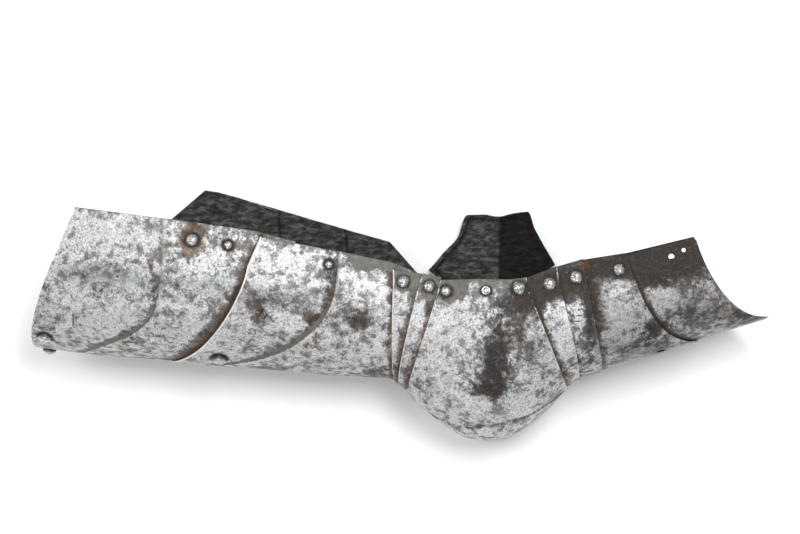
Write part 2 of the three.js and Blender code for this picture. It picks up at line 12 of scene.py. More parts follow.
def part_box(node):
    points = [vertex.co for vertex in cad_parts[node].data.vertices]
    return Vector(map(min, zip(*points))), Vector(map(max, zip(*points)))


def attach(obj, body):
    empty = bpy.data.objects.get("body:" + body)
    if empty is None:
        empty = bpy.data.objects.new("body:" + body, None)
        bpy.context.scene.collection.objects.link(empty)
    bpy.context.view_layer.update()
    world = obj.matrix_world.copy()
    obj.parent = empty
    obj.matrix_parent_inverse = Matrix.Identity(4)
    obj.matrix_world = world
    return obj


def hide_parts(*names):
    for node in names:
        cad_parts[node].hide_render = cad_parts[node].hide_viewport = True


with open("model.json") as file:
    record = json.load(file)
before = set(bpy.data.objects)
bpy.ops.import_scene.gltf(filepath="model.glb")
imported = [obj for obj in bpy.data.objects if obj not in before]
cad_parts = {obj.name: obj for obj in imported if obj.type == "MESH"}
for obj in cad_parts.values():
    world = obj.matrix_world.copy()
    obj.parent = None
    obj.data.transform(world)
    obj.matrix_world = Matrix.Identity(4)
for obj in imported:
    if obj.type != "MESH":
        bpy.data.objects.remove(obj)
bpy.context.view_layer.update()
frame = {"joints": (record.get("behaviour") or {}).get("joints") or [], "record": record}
record = frame["record"]
BODY_OF = {}
for body_name, members in record["behaviour"]["bodies"].items():
    for member in members:
        BODY_OF[member] = body_name

# Driving dimensions, as in the solids
SHEET = 1.5
PLAY = 0.35
LAP = SHEET + PLAY
KNEE_HALF = 63.0
ROUNDNESS = 3.0
THIGH_TILT = -5.4
SHIN_TILT = 16.8
CREASE_RISE = 2.2
CREASE_FADE = 0.75
WING_CURVE = 2.2
LIE_ROLL = math.radians(-79.5)
LIE_PITCH = math.radians(1.0)

STEP = 1.9  # spacing of the points on a plate
EDGE_RADIUS = SHEET / 2
EDGE_STEPS = 4

PIVOTS = {
    "cuisse": (-70.4, -2.2),
    "upperOuter": (-49.1, -6.5),
    "upperInner": (-35.2, -10.7),
    "lowerInner": (24.5, -8.6),
    "lowerOuter": (49.5, -5.0),
    "shin": (71.1, 0.3),
    "shinEnd": (106.0, 6.7),
}
RUN = {
    "cuisse": 77.1,
    "upperOuter": 81.0,
    "upperInner": 84.8,
    "lowerInner": 84.9,
    "lowerOuter": 75.65,
    "shin": 74.6,
}
HALF_1 = KNEE_HALF - LAP
HALF_2 = HALF_1 - LAP
HALF_3 = HALF_2 - LAP

# The frame of the leg laid down, and moved so that one pivot is where the solids have it
roll = np.array([
    [1, 0, 0],
    [0, math.cos(LIE_ROLL), -math.sin(LIE_ROLL)],
    [0, math.sin(LIE_ROLL), math.cos(LIE_ROLL)],
])
pitch = np.array([
    [math.cos(LIE_PITCH), 0, math.sin(LIE_PITCH)],
    [0, 1, 0],
    [-math.sin(LIE_PITCH), 0, math.cos(LIE_PITCH)],
])
LIE = pitch @ roll
knee_joint = next(j for j in frame["joints"] if j["name"] == "knee_to_upper_lame")
knee_pivot = np.array([PIVOTS["upperInner"][0], 0, PIVOTS["upperInner"][1]])
SHIFT = np.array(knee_joint["pos_m"]) - LIE @ knee_pivot / 1000


def lay(points):
    """Points of the leg frame in millimetres as points of the row frame in metres"""
    return np.asarray(points) @ LIE.T / 1000 + SHIFT


def lay_direction(direction):
    return LIE @ np.asarray(direction, float)


def add_object(name, data):
    obj = bpy.data.objects.new(name, data)
    bpy.context.scene.collection.objects.link(obj)
    return obj


# The camera: the photograph's view, given in the frame of the leg
VIEW_DISTANCE = 2600.0
MM_PER_PIXEL = 0.84
IMAGE_WIDTH = 800
VIEW_YAW = math.radians(4.0)
VIEW_PITCH = math.radians(6.0)
VIEW_CENTRE = np.array([-77.28, 0.0, 15.96])
SENSOR = 36.0
CLIP_END = 20.0


def add_camera():
    """Adds the camera. Returns its right, up and back in the row frame"""
    towards = np.array([
        math.sin(VIEW_YAW) * math.cos(VIEW_PITCH),
        -math.cos(VIEW_YAW) * math.cos(VIEW_PITCH),
        -math.sin(VIEW_PITCH),
    ])
    back = lay_direction(towards)
    right = lay_direction(np.cross(-towards, [0, 0, 1]))
    right /= np.linalg.norm(right)
    up = np.cross(back, right)
    data = bpy.data.cameras.new("camera")
    data.sensor_width = SENSOR
    data.lens = SENSOR * VIEW_DISTANCE / (MM_PER_PIXEL * IMAGE_WIDTH)
    data.clip_end = CLIP_END
    camera = add_object("camera", data)
    place = lay(VIEW_CENTRE + VIEW_DISTANCE * towards)
    matrix = np.eye(4)
    matrix[:3] = np.stack([right, up, back, place], axis=1)
    camera.matrix_world = Matrix(matrix.tolist())
    bpy.context.scene.camera = camera
    return right, up, back


CAM_RIGHT, CAM_UP, CAM_BACK = add_camera()

WAVE_SPREAD = (0.6, 1.4)  # lengths of the waves in a swell, about the length asked for


def smooth_curve(xs, ys, x):
    """Monotone cubic through the points xs, ys"""
    xs, ys = np.asarray(xs, float), np.asarray(ys, float)
    gap = np.diff(xs)
    slope = np.diff(ys) / gap
    tangent = np.zeros(len(xs))
    for i in range(1, len(xs) - 1):
        if slope[i - 1] * slope[i] > 0:
            w1, w2 = 2 * gap[i] + gap[i - 1], gap[i] + 2 * gap[i - 1]
            tangent[i] = (w1 + w2) / (w1 / slope[i - 1] + w2 / slope[i])
    tangent[0], tangent[-1] = slope[0], slope[-1]
    x = np.clip(x, xs[0], xs[-1])
    i = np.clip(np.searchsorted(xs, x) - 1, 0, len(xs) - 2)
    t = (x - xs[i]) / gap[i]
    a = (1 + 2 * t) * (1 - t) ** 2
    b = t * (1 - t) ** 2
    c = t * t * (3 - 2 * t)
    d = t * t * (t - 1)
    return a * ys[i] + b * gap[i] * tangent[i] + c * ys[i + 1] + d * gap[i] * tangent[i + 1]


def ease(low, high, x):
    t = np.clip((x - low) / (high - low), 0, 1)
    return t * t * (3 - 2 * t)


def fading(away, width):
    """1 at a distance of 0, falling smoothly to almost nothing at twice the width"""
    return np.exp(-((away / width) ** 2))


def swell(points, length, seed, waves=14):
    """Smooth uneven field over points, about -1 to 1, with bumps of one length"""
    rng = np.random.default_rng(seed)
    total = np.zeros(points.shape[:-1])
    for _ in range(waves):
        way = rng.normal(size=3)
        way *= rng.uniform(*WAVE_SPREAD) * 2 * math.pi / length / np.linalg.norm(way)
        total += np.sin(points @ way + rng.uniform(0, 2 * math.pi))
    return total / math.sqrt(waves)


# Sections along the thigh and the shin: place, radius at the front, half width and roundness
THIGH = np.array([
    [-330, 78.5, 85, 2.1],
    [-300, 80.0, 84, 2.1],
    [-266, 81.2, 82.5, 2.1],
    [-200, 80.7, 79, 2.15],
    [-156, 79.8, 75.5, 2.2],
    [-113, 78.8, 71, 2.3],
    [-50, 79.4, 62.5, 2.6],
    [-25, 78.2, 59, 2.8],
    [-12, RUN["cuisse"], HALF_3, ROUNDNESS],
    [18, RUN["cuisse"], HALF_3, ROUNDNESS],
])
THIGH_BEND_FROM = -8.0
THIGH_BEND_EASE = 4.0
SHIN = np.array([
    [-20, RUN["shin"], HALF_3, ROUNDNESS],
    [0, RUN["shin"], HALF_3, ROUNDNESS],
    [25, 75.2, HALF_3, 2.8],
    [100, 75.9, 56.5, 2.6],
    [145, 76, 55.5, 2.5],
])


def section_at(rows, at):
    return [smooth_curve(rows[:, 0], rows[:, k], at) for k in (1, 2, 3)]


def thigh_section(at, rib):
    past = THIGH_BEND_FROM - at
    eased = THIGH_BEND_FROM - THIGH_BEND_EASE * np.tanh(past / THIGH_BEND_EASE)
    return *section_at(THIGH, at), np.where(past > 0, eased, at)


def shin_section(at, rib):
    return *section_at(SHIN, at), np.minimum(at, 0)


def lame_section(at, rib):
    one = np.ones_like(at)
    return rib["radius"] * one, rib["half"] * one, rib["round"] * one, at


# Tables of ribs, as in the solids
RIB_COLUMNS = (
    "atInner atFront atOuter sweep flat rise innerX innerZ outerX outerZ steps".split()
)
LAME_COLUMNS = "pivot lap tilt at atFront half innerX innerZ outerX outerZ steps".split()
KNEE_COLUMNS = "side frontX frontZ half round innerX innerZ outerX outerZ flare".split()


def table(columns, rows):
    return [dict(zip(columns, row)) for row in rows]


CUISSE_TOP_RIBS = table(RIB_COLUMNS, [
    [-284, -310, -266, 1, 1.8, -LAP, -339, 59, -252.5, 92.3, 4],
    [-198.5, -267, -196, 5.6, 2, -LAP, -267.6, 49.6, -240, 90.3, 1],
    [-196.5, -264, -194, 5.6, 2, CREASE_RISE - LAP, -265.6, 49.3, -238, 89.8, 3],
    [-137, -215, -149, 3.0, 1.5, -LAP, -193, 39.5, -222, 85, 2],
    [-98, -140, -112, 1.3, 1, -LAP, -158, 30.5, -187, 72.5, 0],
])
CUISSE_MAIN_RIBS = table(RIB_COLUMNS, [
    [-128, -193, -140, 1.4, 1, 0, -187.3, 34.3, -216.7, 83.4, 4],
    [-55, -157, -55, 1.8, 1, 0, -123.6, 22.6, -128.6, 55.8, 1],
    [-53, -154, -53, 1.8, 1, CREASE_RISE, -121.6, 22.2, -126.6, 55.2, 3],
    [-14, -12, -14, 1, 1, 0, -82.3, 14.6, -90, 44, 3],
    [9, 18, 9, 1, 1, 0, -60, 6, -64, 14, 0],
])
SHIN_PLATE_RIBS = table(RIB_COLUMNS, [
    [-9, -19.7, -9, 1, 1, 0, 61, 9, 61, 10, 2],
    [9, 0, 9, 1, 1, 0, 77, 15, 77, 18, 4],
    [45.5, 82.7, 45.5, 2, 1, 0, 113.6, 20.5, 113.6, 24, 0],
])
END_DROP = 0.35
SHIN_END_RIBS = table(RIB_COLUMNS, [
    [23.3, 30.5, 23.3, 1, 1, -LAP - END_DROP, 92, 16, 92, 18, 2],
    [47, 60, 47, 1.5, 1, -LAP - END_DROP, 115, 21, 115, 22, 4],
    [103, 144, 103, 1.6, 1, -LAP - END_DROP, 167.1, 33.5, 163, 29, 0],
])


# pivot: the hinge that a rib turns about, lap: 1 where the plate lies over its neighbour there
UPPER_OUTER_RIBS = table(LAME_COLUMNS, [
    ["cuisse", 1, -2, -8.6, -8.3, HALF_2, -79.3, 8, -80, 10, 2],
    ["upperOuter", 0, -14.7, -8.6, -7, HALF_2, -54.5, 4.2, -56, 6, 3],
    ["upperOuter", 0, -12, 9, 8.5, HALF_2, -39, 1, -39, 2, 0],
])
UPPER_INNER_RIBS = table(LAME_COLUMNS, [
    ["upperOuter", 1, -14.7, -8.6, -7.8, HALF_1, -54, 4.7, -55.5, 6.5, 2],
    ["upperInner", 0, -16, -6.5, -12, HALF_1, -40.5, -1.2, -42, 0, 3],
    ["upperInner", 0, -10, 9, 0, HALF_1, -26, -2.2, -26, -2, 0],
])
LOWER_INNER_RIBS = table(LAME_COLUMNS, [
    ["lowerInner", 0, 12, -9, 0, HALF_1, 15.5, -2.4, 15.5, -2, 3],
    ["lowerInner", 0, 21.5, 6, 6, HALF_1, 31, 0, 33, 1, 2],
    ["lowerOuter", 1, 16, 8.1, 1.9, HALF_1, 55.6, 9.6, 57, 12, 0],
])
LOWER_OUTER_RIBS = table(LAME_COLUMNS, [
    ["lowerOuter", 0, 4, -9, 0, HALF_2, 40, 3.6, 40, 4, 3],
    ["lowerOuter", 0, 16, 7, 1, HALF_2, 55.6, 9.2, 57, 11.5, 1],
    ["shin", 1, 12, -4, -6, HALF_2, 66, 12.3, 68, 14.8, 2],
    ["shin", 1, 12, 8.5, 5, HALF_2, 76.8, 15.4, 79, 18, 0],
])
KNEE_SPOKES = table(KNEE_COLUMNS, [
    [-36.5, -65.5, -95.5, 63, 2.9, -35.5, -1.4, -51, 27, 5],
    [-31, -56, -104.5, 63, 2.8, -30, -1.3, -44.5, 35, 6],
    [-25, -46, -113, 63.3, 2.7, -24, -1.2, -32, 48.5, 6.5],
    [-19, -35.5, -120.3, 63.8, 2.6, -18, -1.1, -23.5, 68, 7],
    [-12, -20, -128, 64.2, 2.5, -12, -1, -9.5, 68, 4.5],
    [-5, -6, -130.6, 64.4, 2.5, -5, -1, 2.5, 65.7, -2],
    [2, 8, -129, 64.2, 2.5, 2, -1.1, 13.8, 68.6, 4],
    [9, 22, -123, 63.8, 2.6, 9, -1.3, 28, 70.5, 7],
    [15.5, 34, -114.5, 63.3, 2.7, 15.5, -1.4, 34, 56, 6.5],
    [21, 45.5, -104, 63, 2.8, 21, -1, 42, 40.8, 6],
    [26, 54.5, -95.2, 63, 2.9, 26.5, -0.5, 47.5, 31.5, 5],
])
KNEE_EDGE_FLARE = 4


def knee_spoke(spoke):
    top, low = PIVOTS["upperInner"], PIVOTS["lowerInner"]
    side, front_x, front_z = spoke["side"], spoke["frontX"], spoke["frontZ"]
    z = top[1] + (low[1] - top[1]) * (side - top[0]) / (low[0] - top[0])
    tilt = math.degrees(math.atan2(front_x - side, z - front_z))
    radius = math.hypot(front_x - side, front_z - z)
    rest = {k: v for k, v in spoke.items() if k not in ("side", "frontX", "frontZ")}
    place = {"x": side, "z": z, "tilt": tilt, "at": 0, "atFront": 0, "radius": radius, "steps": 1}
    return {**place, **rest}


def knee_edge(row):
    return {**row, "round": ROUNDNESS, "flare": KNEE_EDGE_FLARE}


KNEE_EDGES = table(LAME_COLUMNS, [
    ["upperInner", 1, -16, -6.5, -13, KNEE_HALF, -40.1, -1.6, -57.5, 19.7, 1],
    ["lowerInner", 1, 21.5, 6.9, 6.9, KNEE_HALF, 31, 0.5, 52, 23.2, 0],
])
KNEE_RIBS = [
    knee_edge(KNEE_EDGES[0]), *[knee_spoke(spoke) for spoke in KNEE_SPOKES], knee_edge(KNEE_EDGES[1]),
]


def long_rib(row, pivot, tilt, fade=0, floor=0.0):
    """A rib of the thigh or the shin"""
    x, z = PIVOTS[pivot]
    return {"x": x, "z": z, "tilt": tilt, "flare": 0, "fade": fade, "floor": floor, **row}


def lame_rib(row):
    fixed = {"sweep": 1, "flat": 1, "rise": 0, "fade": 0, "floor": 0}
    row = {"round": ROUNDNESS, "flare": 0, **fixed, **row}
    if "pivot" in row:
        pivot = row.pop("pivot")
        row["x"], row["z"] = PIVOTS[pivot]
        row["radius"] = RUN[pivot] + LAP * row.pop("lap")
    return {**row, "atInner": row["at"], "atOuter": row["at"]}


# Points of a plate
SIDE_DENSE = 2001
LEAST_GAP = 1.0  # ribs are spaced as if they lay this far apart at least
KNEE_END_GAPS = (7.0, 6.0)  # from the hip edge and the foot edge of the knee to its next spoke


def even_turns(count, round_=2.6, radius=79.0, half=66.0):
    """Turns from 90 degrees at the side to 0 at the front, evenly spaced along the section"""
    turns = np.linspace(0, 90, SIDE_DENSE)
    depth = radius * np.cos(np.radians(turns)) ** (2 / round_)
    across = half * np.sin(np.radians(turns)) ** (2 / round_)
    length = np.concatenate([[0], np.cumsum(np.hypot(np.diff(depth), np.diff(across)))])
    return np.interp(np.linspace(0, length[-1], count + 1), length, turns)[::-1]


def stations_across(front_count, inner_count, outer_count):
    """Side, turn and back of each station, from the inner rear corner round to the outer one"""
    turns = even_turns(front_count)
    side = np.repeat([-1.0, 1.0], [inner_count + front_count, front_count + 1 + outer_count])
    turn = np.concatenate([
        np.full(inner_count, 90.0), turns[:-1], turns[::-1], np.full(outer_count, 90.0),
    ])
    back = np.concatenate([
        np.arange(inner_count, 0, -1) / inner_count,
        np.zeros(2 * front_count + 1),
        np.arange(1, outer_count + 1) / outer_count,
    ])
    return side, turn, back


def fine_ribs(rows, curved=False):
    """The ribs of a plate at close spacing, as arrays"""
    keys = [k for k in rows[0] if k != "steps"]
    gaps = []
    for a, b in zip(rows, rows[1:]):
        reach = max(
            math.hypot(b["innerX"] - a["innerX"], b["innerZ"] - a["innerZ"]),
            math.hypot(b["outerX"] - a["outerX"], b["outerZ"] - a["outerZ"]),
            abs(b["atFront"] - a["atFront"]) if a["x"] == b["x"] else 0,
        )
        gaps.append(max(reach, LEAST_GAP))
    if curved:
        gaps[0], gaps[-1] = KNEE_END_GAPS
    knots = np.concatenate([[0], np.cumsum(gaps)])
    spots = []
    for i, gap in enumerate(gaps):
        count = max(2, math.ceil(gap / STEP))
        spots += list(np.linspace(knots[i], knots[i + 1], count, endpoint=False))
    spots = np.array(spots + [knots[-1]])
    out = {}
    for key in keys:
        values = [row[key] for row in rows]
        if curved and key != "flare":
            out[key] = smooth_curve(knots, values, spots)
        else:
            out[key] = np.interp(spots, knots, values)
    return out, [int(np.argmin(np.abs(spots - knot))) for knot in knots]


def plate_points(rib, stations, section, curve=1.0):
    side, turn, back = [s[None, :] for s in stations]
    col = {k: v[:, None] for k, v in rib.items()}
    lean = np.radians(col["tilt"])
    share = (1 - (turn / 90) ** col["flat"]) ** col["sweep"]
    at_side = np.where(side < 0, col["atInner"], col["atOuter"])
    at = at_side + (col["atFront"] - at_side) * share
    radius, half, round_, bend = section(at, col)
    cosine = np.clip(np.cos(np.radians(turn)), 0, 1)
    depth = np.sqrt(np.maximum(radius**2 - bend**2, 0)) * cosine ** (2 / round_)
    ratio = np.minimum(np.hypot(depth, bend) / radius, 1)
    x = col["x"] + at * np.cos(lean) + depth * np.sin(lean)
    z = col["z"] + at * np.sin(lean) - depth * np.cos(lean)
    y = side * half * (1 - ratio**round_) ** (1 / round_)
    corner_x = np.where(side < 0, col["innerX"], col["outerX"])
    corner_z = np.where(side < 0, col["innerZ"], col["outerZ"])
    corner_at = (corner_x - col["x"]) * np.cos(lean) + (corner_z - col["z"]) * np.sin(lean)
    corner_half = section(corner_at, col)[1] + np.where(side < 0, 0, col["flare"])
    spreading = np.where(side < 0, back, back**curve)
    x = x + (corner_x - x) * spreading
    y = y + (side * corner_half - y) * spreading
    z = z + (corner_z - z) * back
    return np.stack([x, y, z], -1)


def grid_normals(base):
    along = np.gradient(base, axis=0)
    across = np.gradient(base, axis=1)
    normal = np.cross(across, along)
    return normal / np.linalg.norm(normal, axis=-1, keepdims=True)


def unit(v):
    return v / np.maximum(np.linalg.norm(v, axis=-1, keepdims=True), 1e-9)


def edge_distances(base):
    """Distance of each point to the hip edge, foot edge and rear edges of its plate"""
    along = np.linalg.norm(np.diff(base, axis=0), axis=-1)
    across = np.linalg.norm(np.diff(base, axis=1), axis=-1)
    hip = np.zeros(base.shape[:2])
    hip[1:] = np.cumsum(along, axis=0)
    foot = hip[-1:] - hip
    inner = np.zeros(base.shape[:2])
    inner[:, 1:] = np.cumsum(across, axis=1)
    outer = inner[:, -1:] - inner
    return hip, foot, inner, outer


def mesh_object(name, points, faces):
    mesh = bpy.data.meshes.new(name)
    mesh.from_pydata([tuple(p) for p in lay(points)], [], faces)
    mesh.update()
    return add_object(name, mesh)


def add_attribute(obj, name, kind, values):
    attribute = obj.data.attributes.new(name, kind, "POINT")
    field = {"FLOAT": "value", "FLOAT_VECTOR": "vector", "FLOAT_COLOR": "color"}[kind]
    attribute.data.foreach_set(field, np.asarray(values, np.float32).ravel())


EDGE_WEAR = 0.25  # how bare a rounded edge is at least


def thick_plate(name, data, paint, tint, wear, covered):
    """A closed plate with a rounded edge. paint, tint, wear: for each point of the grid,
    covered: the row of points that lies under another plate"""
    base, normal = data["base"], data["normal"]
    rows, cols = base.shape[:2]
    reach = np.zeros_like(base)
    reach[0] += unit(base[0] - base[1])
    reach[-1] += unit(base[-1] - base[-2])
    reach[:, 0] += unit(base[:, 0] - base[:, 1])
    reach[:, -1] += unit(base[:, -1] - base[:, -2])
    reach = unit(reach) * (np.linalg.norm(reach, axis=-1, keepdims=True) > 0)
    outer = base - reach * EDGE_RADIUS + normal * data["relief"][..., None]
    inner = outer - normal * SHEET
    count = rows * cols
    ids = np.arange(count).reshape(rows, cols)
    edge = np.concatenate([ids[0], ids[1:, -1], ids[-1, -2::-1], ids[-2:0:-1, 0]])
    edge_normal, edge_reach = normal.reshape(-1, 3)[edge], reach.reshape(-1, 3)[edge]
    points = [outer.reshape(-1, 3), inner.reshape(-1, 3)]
    middle = points[0][edge] - edge_normal * EDGE_RADIUS
    for k in range(1, EDGE_STEPS):
        angle = math.pi * k / EDGE_STEPS
        ring = middle + edge_reach * EDGE_RADIUS * math.sin(angle)
        points.append(ring + edge_normal * EDGE_RADIUS * math.cos(angle))
    points = np.concatenate(points)
    a, b, c, d = ids[:-1, :-1], ids[:-1, 1:], ids[1:, 1:], ids[1:, :-1]
    top = np.stack([a, b, c, d], -1).reshape(-1, 4)
    low = np.stack([a, d, c, b], -1).reshape(-1, 4) + count
    size = len(edge)
    rings = [edge] + [2 * count + k * size + np.arange(size) for k in range(EDGE_STEPS - 1)]
    rings.append(edge + count)
    bands = [
        np.stack([first, second, np.roll(second, -1), np.roll(first, -1)], -1)
        for first, second in zip(rings, rings[1:])
    ]
    faces = np.concatenate([top, low, *bands]).tolist()
    obj = mesh_object(name, points, faces)
    obj.data.polygons.foreach_set("use_smooth", [True] * len(faces))
    face_paint, face_tint, face_wear = paint.reshape(-1, 4), tint.reshape(-1, 4), wear.reshape(-1)
    inner_paint = face_paint.copy()
    inner_paint[:, 2] = 1.0
    turns = EDGE_STEPS - 1
    # the edge under another plate takes the dark colour of the inner face, as painted shade between the
    # plates, and no wear
    hidden = (edge // cols == covered).astype(float)
    edge_paint = np.tile(face_paint[edge], (turns, 1))
    edge_paint[:, 2] = np.maximum(edge_paint[:, 2], np.tile(hidden, turns))
    edge_tint = np.tile(face_tint[edge], (turns, 1))
    edge_wear = np.tile(np.maximum(face_wear[edge], EDGE_WEAR) * (1 - hidden), turns)
    add_attribute(obj, "paint", "FLOAT_COLOR", np.concatenate([face_paint, inner_paint, edge_paint]))
    add_attribute(obj, "tint", "FLOAT_COLOR", np.concatenate([face_tint, face_tint, edge_tint]))
    add_attribute(obj, "wear", "FLOAT", np.concatenate([face_wear, np.zeros(count), edge_wear]))
    add_attribute(obj, "leg", "FLOAT_VECTOR", points / 1000)
    return obj


# Relief of the plates
HAMMER_MARKS = table("length depth seed".split(), [
    [34.0, 0.13, 3],
    [13.0, 0.035, 4],
])


def hammered(base):
    return sum(mark["depth"] * swell(base, mark["length"], mark["seed"]) for mark in HAMMER_MARKS)


def embossed(rib, stations):
    """Rise of each point, with the embossed step fading towards the front"""
    rise, floor, fade = rib["rise"][:, None], rib["floor"][:, None], rib["fade"][:, None]
    step = np.maximum(rise - floor, 0)
    return rise - step * fade * np.cos(np.radians(stations[1][None, :]))


def plan(ribs, section, back, over, rubbed, curved=False, curve=1.0):
    """How a plate is laid out. back: its points behind the hinge line on the inner and outer side,
    over: the plate that lies over it and the edge of that one, rubbed: how bare its hip edge and foot
    edge are"""
    return dict(
        ribs=ribs, section=section, back=back, over=over, rubbed=rubbed, curved=curved, curve=curve,
    )


def thigh_plan(rows, floor, *rest):
    ribs = [long_rib(row, "cuisse", THIGH_TILT, CREASE_FADE, floor) for row in rows]
    return plan(ribs, thigh_section, *rest)


def lame_plan(rows, *rest, **more):
    return plan([lame_rib(row) for row in rows], lame_section, *rest, **more)


def shin_plan(rows, *rest):
    return plan([long_rib(row, "shin", SHIN_TILT) for row in rows], shin_section, *rest)


HIP, FOOT = 0, -1
PLATES = {
    "cuisse_top": thigh_plan(CUISSE_TOP_RIBS, -LAP, (26, 44), ("cuisse_main", HIP), (0.62, 0)),
    "cuisse_main": thigh_plan(CUISSE_MAIN_RIBS, 0, (14, 34), ("upper_lame_outer", HIP), (1.15, 0)),
    "upper_lame_outer": lame_plan(UPPER_OUTER_RIBS, (6, 7), ("upper_lame_inner", HIP), (0.8, 0)),
    "upper_lame_inner": lame_plan(UPPER_INNER_RIBS, (5, 6), ("knee_plate", HIP), (0.65, 0)),
    "knee_plate": lame_plan(KNEE_RIBS, (5, 40), None, (0.62, 0.55), curved=True, curve=WING_CURVE),
    "lower_lame_inner": lame_plan(LOWER_INNER_RIBS, (6, 7), ("knee_plate", FOOT), (0, 0.52)),
    "lower_lame_outer": lame_plan(LOWER_OUTER_RIBS, (7, 9), ("lower_lame_inner", FOOT), (0, 0.45)),
    "shin_plate": shin_plan(SHIN_PLATE_RIBS, (8, 10), ("lower_lame_outer", FOOT), (0, 0.3)),
    "shin_end_plate": shin_plan(SHIN_END_RIBS, (10, 11), ("shin_plate", FOOT), (0, 0.2)),
}
FRONT_COUNT = 56  # points from the side of a plate to its front

built = {}
for name, plate in PLATES.items():
    rib, rows = fine_ribs(plate["ribs"], plate["curved"])
    stations = stations_across(FRONT_COUNT, *plate["back"])
    base = plate_points(rib, stations, plate["section"], plate["curve"])
    built[name] = dict(
        base=base, normal=grid_normals(base), relief=embossed(rib, stations) + hammered(base),
        edges=edge_distances(base), rows=rows,
    )


def nearest(base, line):
    """Distance from each point of a grid to a line of points"""
    flat = base.reshape(-1, 3)
    best = np.full(len(flat), 1e9)
    for point in line:
        best = np.minimum(best, ((flat - point) ** 2).sum(1))
    return np.sqrt(best).reshape(base.shape[:2])


# Stains on the inner side of the leg by kind. patina is dark, rust brown, plain an even grey, the blue
# kind a painted blue-grey reflection band along the thigh, orange fresh rust, the dark veil dark patina
# with painted shade and painted dark reflections, and bright takes patina away
STAIN_COLUMNS = "x z wide high amount".split()
STAINS = {
    "patina": table(STAIN_COLUMNS, [
        [-214, 27, 5, 5, 0.5], [-275, -6, 4, 20, 0.5], [-302, -49, 8, 8, 0.5],
        [-319, -11, 9, 8, 0.4], [-131, -2, 5, 27, 0.55], [-143, -33, 10, 8, 0.5],
        [-188, -28, 8, 8, 0.5], [-110, -33, 7, 12, 0.35], [-179, -69, 18, 4, 0.35],
        # [5, -67] and [-9, -92]: the dark patch down the front of the knee, a painted dark reflection
        [-95, -77, 17, 6, 0.5], [5, -67, 14, 36, 0.75], [-9, -92, 15, 7, 0.5],
        [13, -26, 8, 18, 0.45], [29, -21, 10, 8, 0.6], [37, -43, 17, 25, 0.2],
        [47, -7, 16, 12, 0.85], [70, -4, 13, 15, 0.85], [95, 12, 18, 12, 0.9],
        [111, 16, 20, 13, 0.9], [140, 17, 25, 20, 1.0], [164, 22, 21, 22, 1.0],
        [135, -1, 13, 8, 0.7], [82, -35, 5, 42, 0.6], [164, -31, 15, 8, 0.35],
        [135, -48, 15, 13, 0.35], [208, -34, 21, 7, 0.5], [118, -14, 12, 16, 0.5],
        [128, -42, 14, 10, 0.5],
    ]),
    "rust": table(STAIN_COLUMNS, [
        [-242, 34, 12, 14, 0.95], [-245, 20, 7, 8, 0.5], [-275, 7, 4, 10, 0.45],
        [-304, -50, 8, 6, 0.35], [-340, -58, 38, 4, 0.35], [-319, -11, 8, 7, 0.2],
        [-130, -6, 4, 24, 0.3], [-143, -33, 10, 8, 0.6], [-188, -28, 8, 8, 0.6],
        [-103, -33, 5, 14, 0.55], [-101, 13, 7, 3, 0.3], [-72, -60, 7, 20, 0.3],
        [9, -55, 5, 18, 0.25], [29, -21, 10, 8, 0.85], [23, -51, 8, 18, 0.45],
        [47, -7, 16, 12, 0.6], [70, -4, 13, 15, 0.55], [172, 7, 12, 18, 0.4],
        [188, -19, 13, 12, 0.4], [82, -35, 5, 42, 0.3], [99, 12, 17, 8, 0.3],
        [204, -29, 17, 7, 0.3], [-74, 12, 12, 3, 0.9],
    ]),
    "plain": table(STAIN_COLUMNS, [
        [-98, 13, 26, 8, 0.9], [8, -4, 22, 6, 0.6], [-70, -2, 12, 10, 0.9],
        [-50, -8, 10, 12, 0.95], [-30, -10, 14, 11, 0.95],
    ]),
    # A painted blue-grey reflection band along the thigh
    "blue_reflection": table(STAIN_COLUMNS, [
        [-315, 1, 38, 9, 0.5], [-224, -5, 22, 7, 0.35], [-156, -14, 19, 9, 0.45],
    ]),
    "orange": table(STAIN_COLUMNS, [
        [78, 10, 3, 4, 1.0],
    ]),
    # Dark veil: painted dark reflections on the thigh and knee, painted shade along the thigh's front,
    # and patina
    "stain_and_shade": table(STAIN_COLUMNS, [
        [-320, 5, 50, 10, 0.45], [-249, -5, 42, 10, 0.35], [-191, -16, 29, 12, 0.5],
        [-150, -18, 25, 12, 0.4], [-109, -33, 25, 13, 0.55], [-352, -50, 21, 10, 0.35],
        [-278, -60, 50, 7, 0.3], [-187, -73, 50, 7, 0.3], [-113, -79, 42, 8, 0.45],
        [-369, -16, 8, 42, 0.3], [5, -69, 10, 34, 0.85], [-8, -90, 15, 8, 0.6],
        [31, -51, 21, 38, 0.45], [-65, -101, 8, 17, 0.3], [55, -98, 17, 13, 0.4],
        [27, -20, 21, 12, 0.8], [54, -5, 21, 13, 1.0], [82, -10, 8, 34, 0.6],
        [95, 13, 50, 12, 1.1], [140, 18, 42, 17, 1.6], [121, -20, 30, 30, 0.25],
        [88, -20, 9, 40, 0.5], [62, 3, 24, 11, 0.5], [168, -19, 17, 17, 0.4],
        [204, -32, 25, 10, 0.5], [123, -57, 34, 7, 0.5],
    ]),
    "bright": table(STAIN_COLUMNS, [
        [-312, 37, 38, 17, 0.35], [-319, -29, 29, 17, 0.35], [-237, 10, 18, 10, 0.1],
        [-232, -42, 25, 13, 0.3], [-163, 11, 24, 15, 0.35], [-97, -6, 15, 15, 0.45],
        [-97, -59, 15, 10, 0.35], [-63, -34, 10, 17, 0.4], [-28, -39, 24, 32, 0.2],
        [9, -106, 34, 10, 0.4], [7, -2, 8, 12, 0.2], [62, -36, 10, 21, 0.3],
        [58, -57, 13, 12, 0.5], [108, -27, 15, 21, 0.45], [135, -17, 21, 8, 0.5],
        [117, 8, 7, 7, 0.4],
    ]),
}

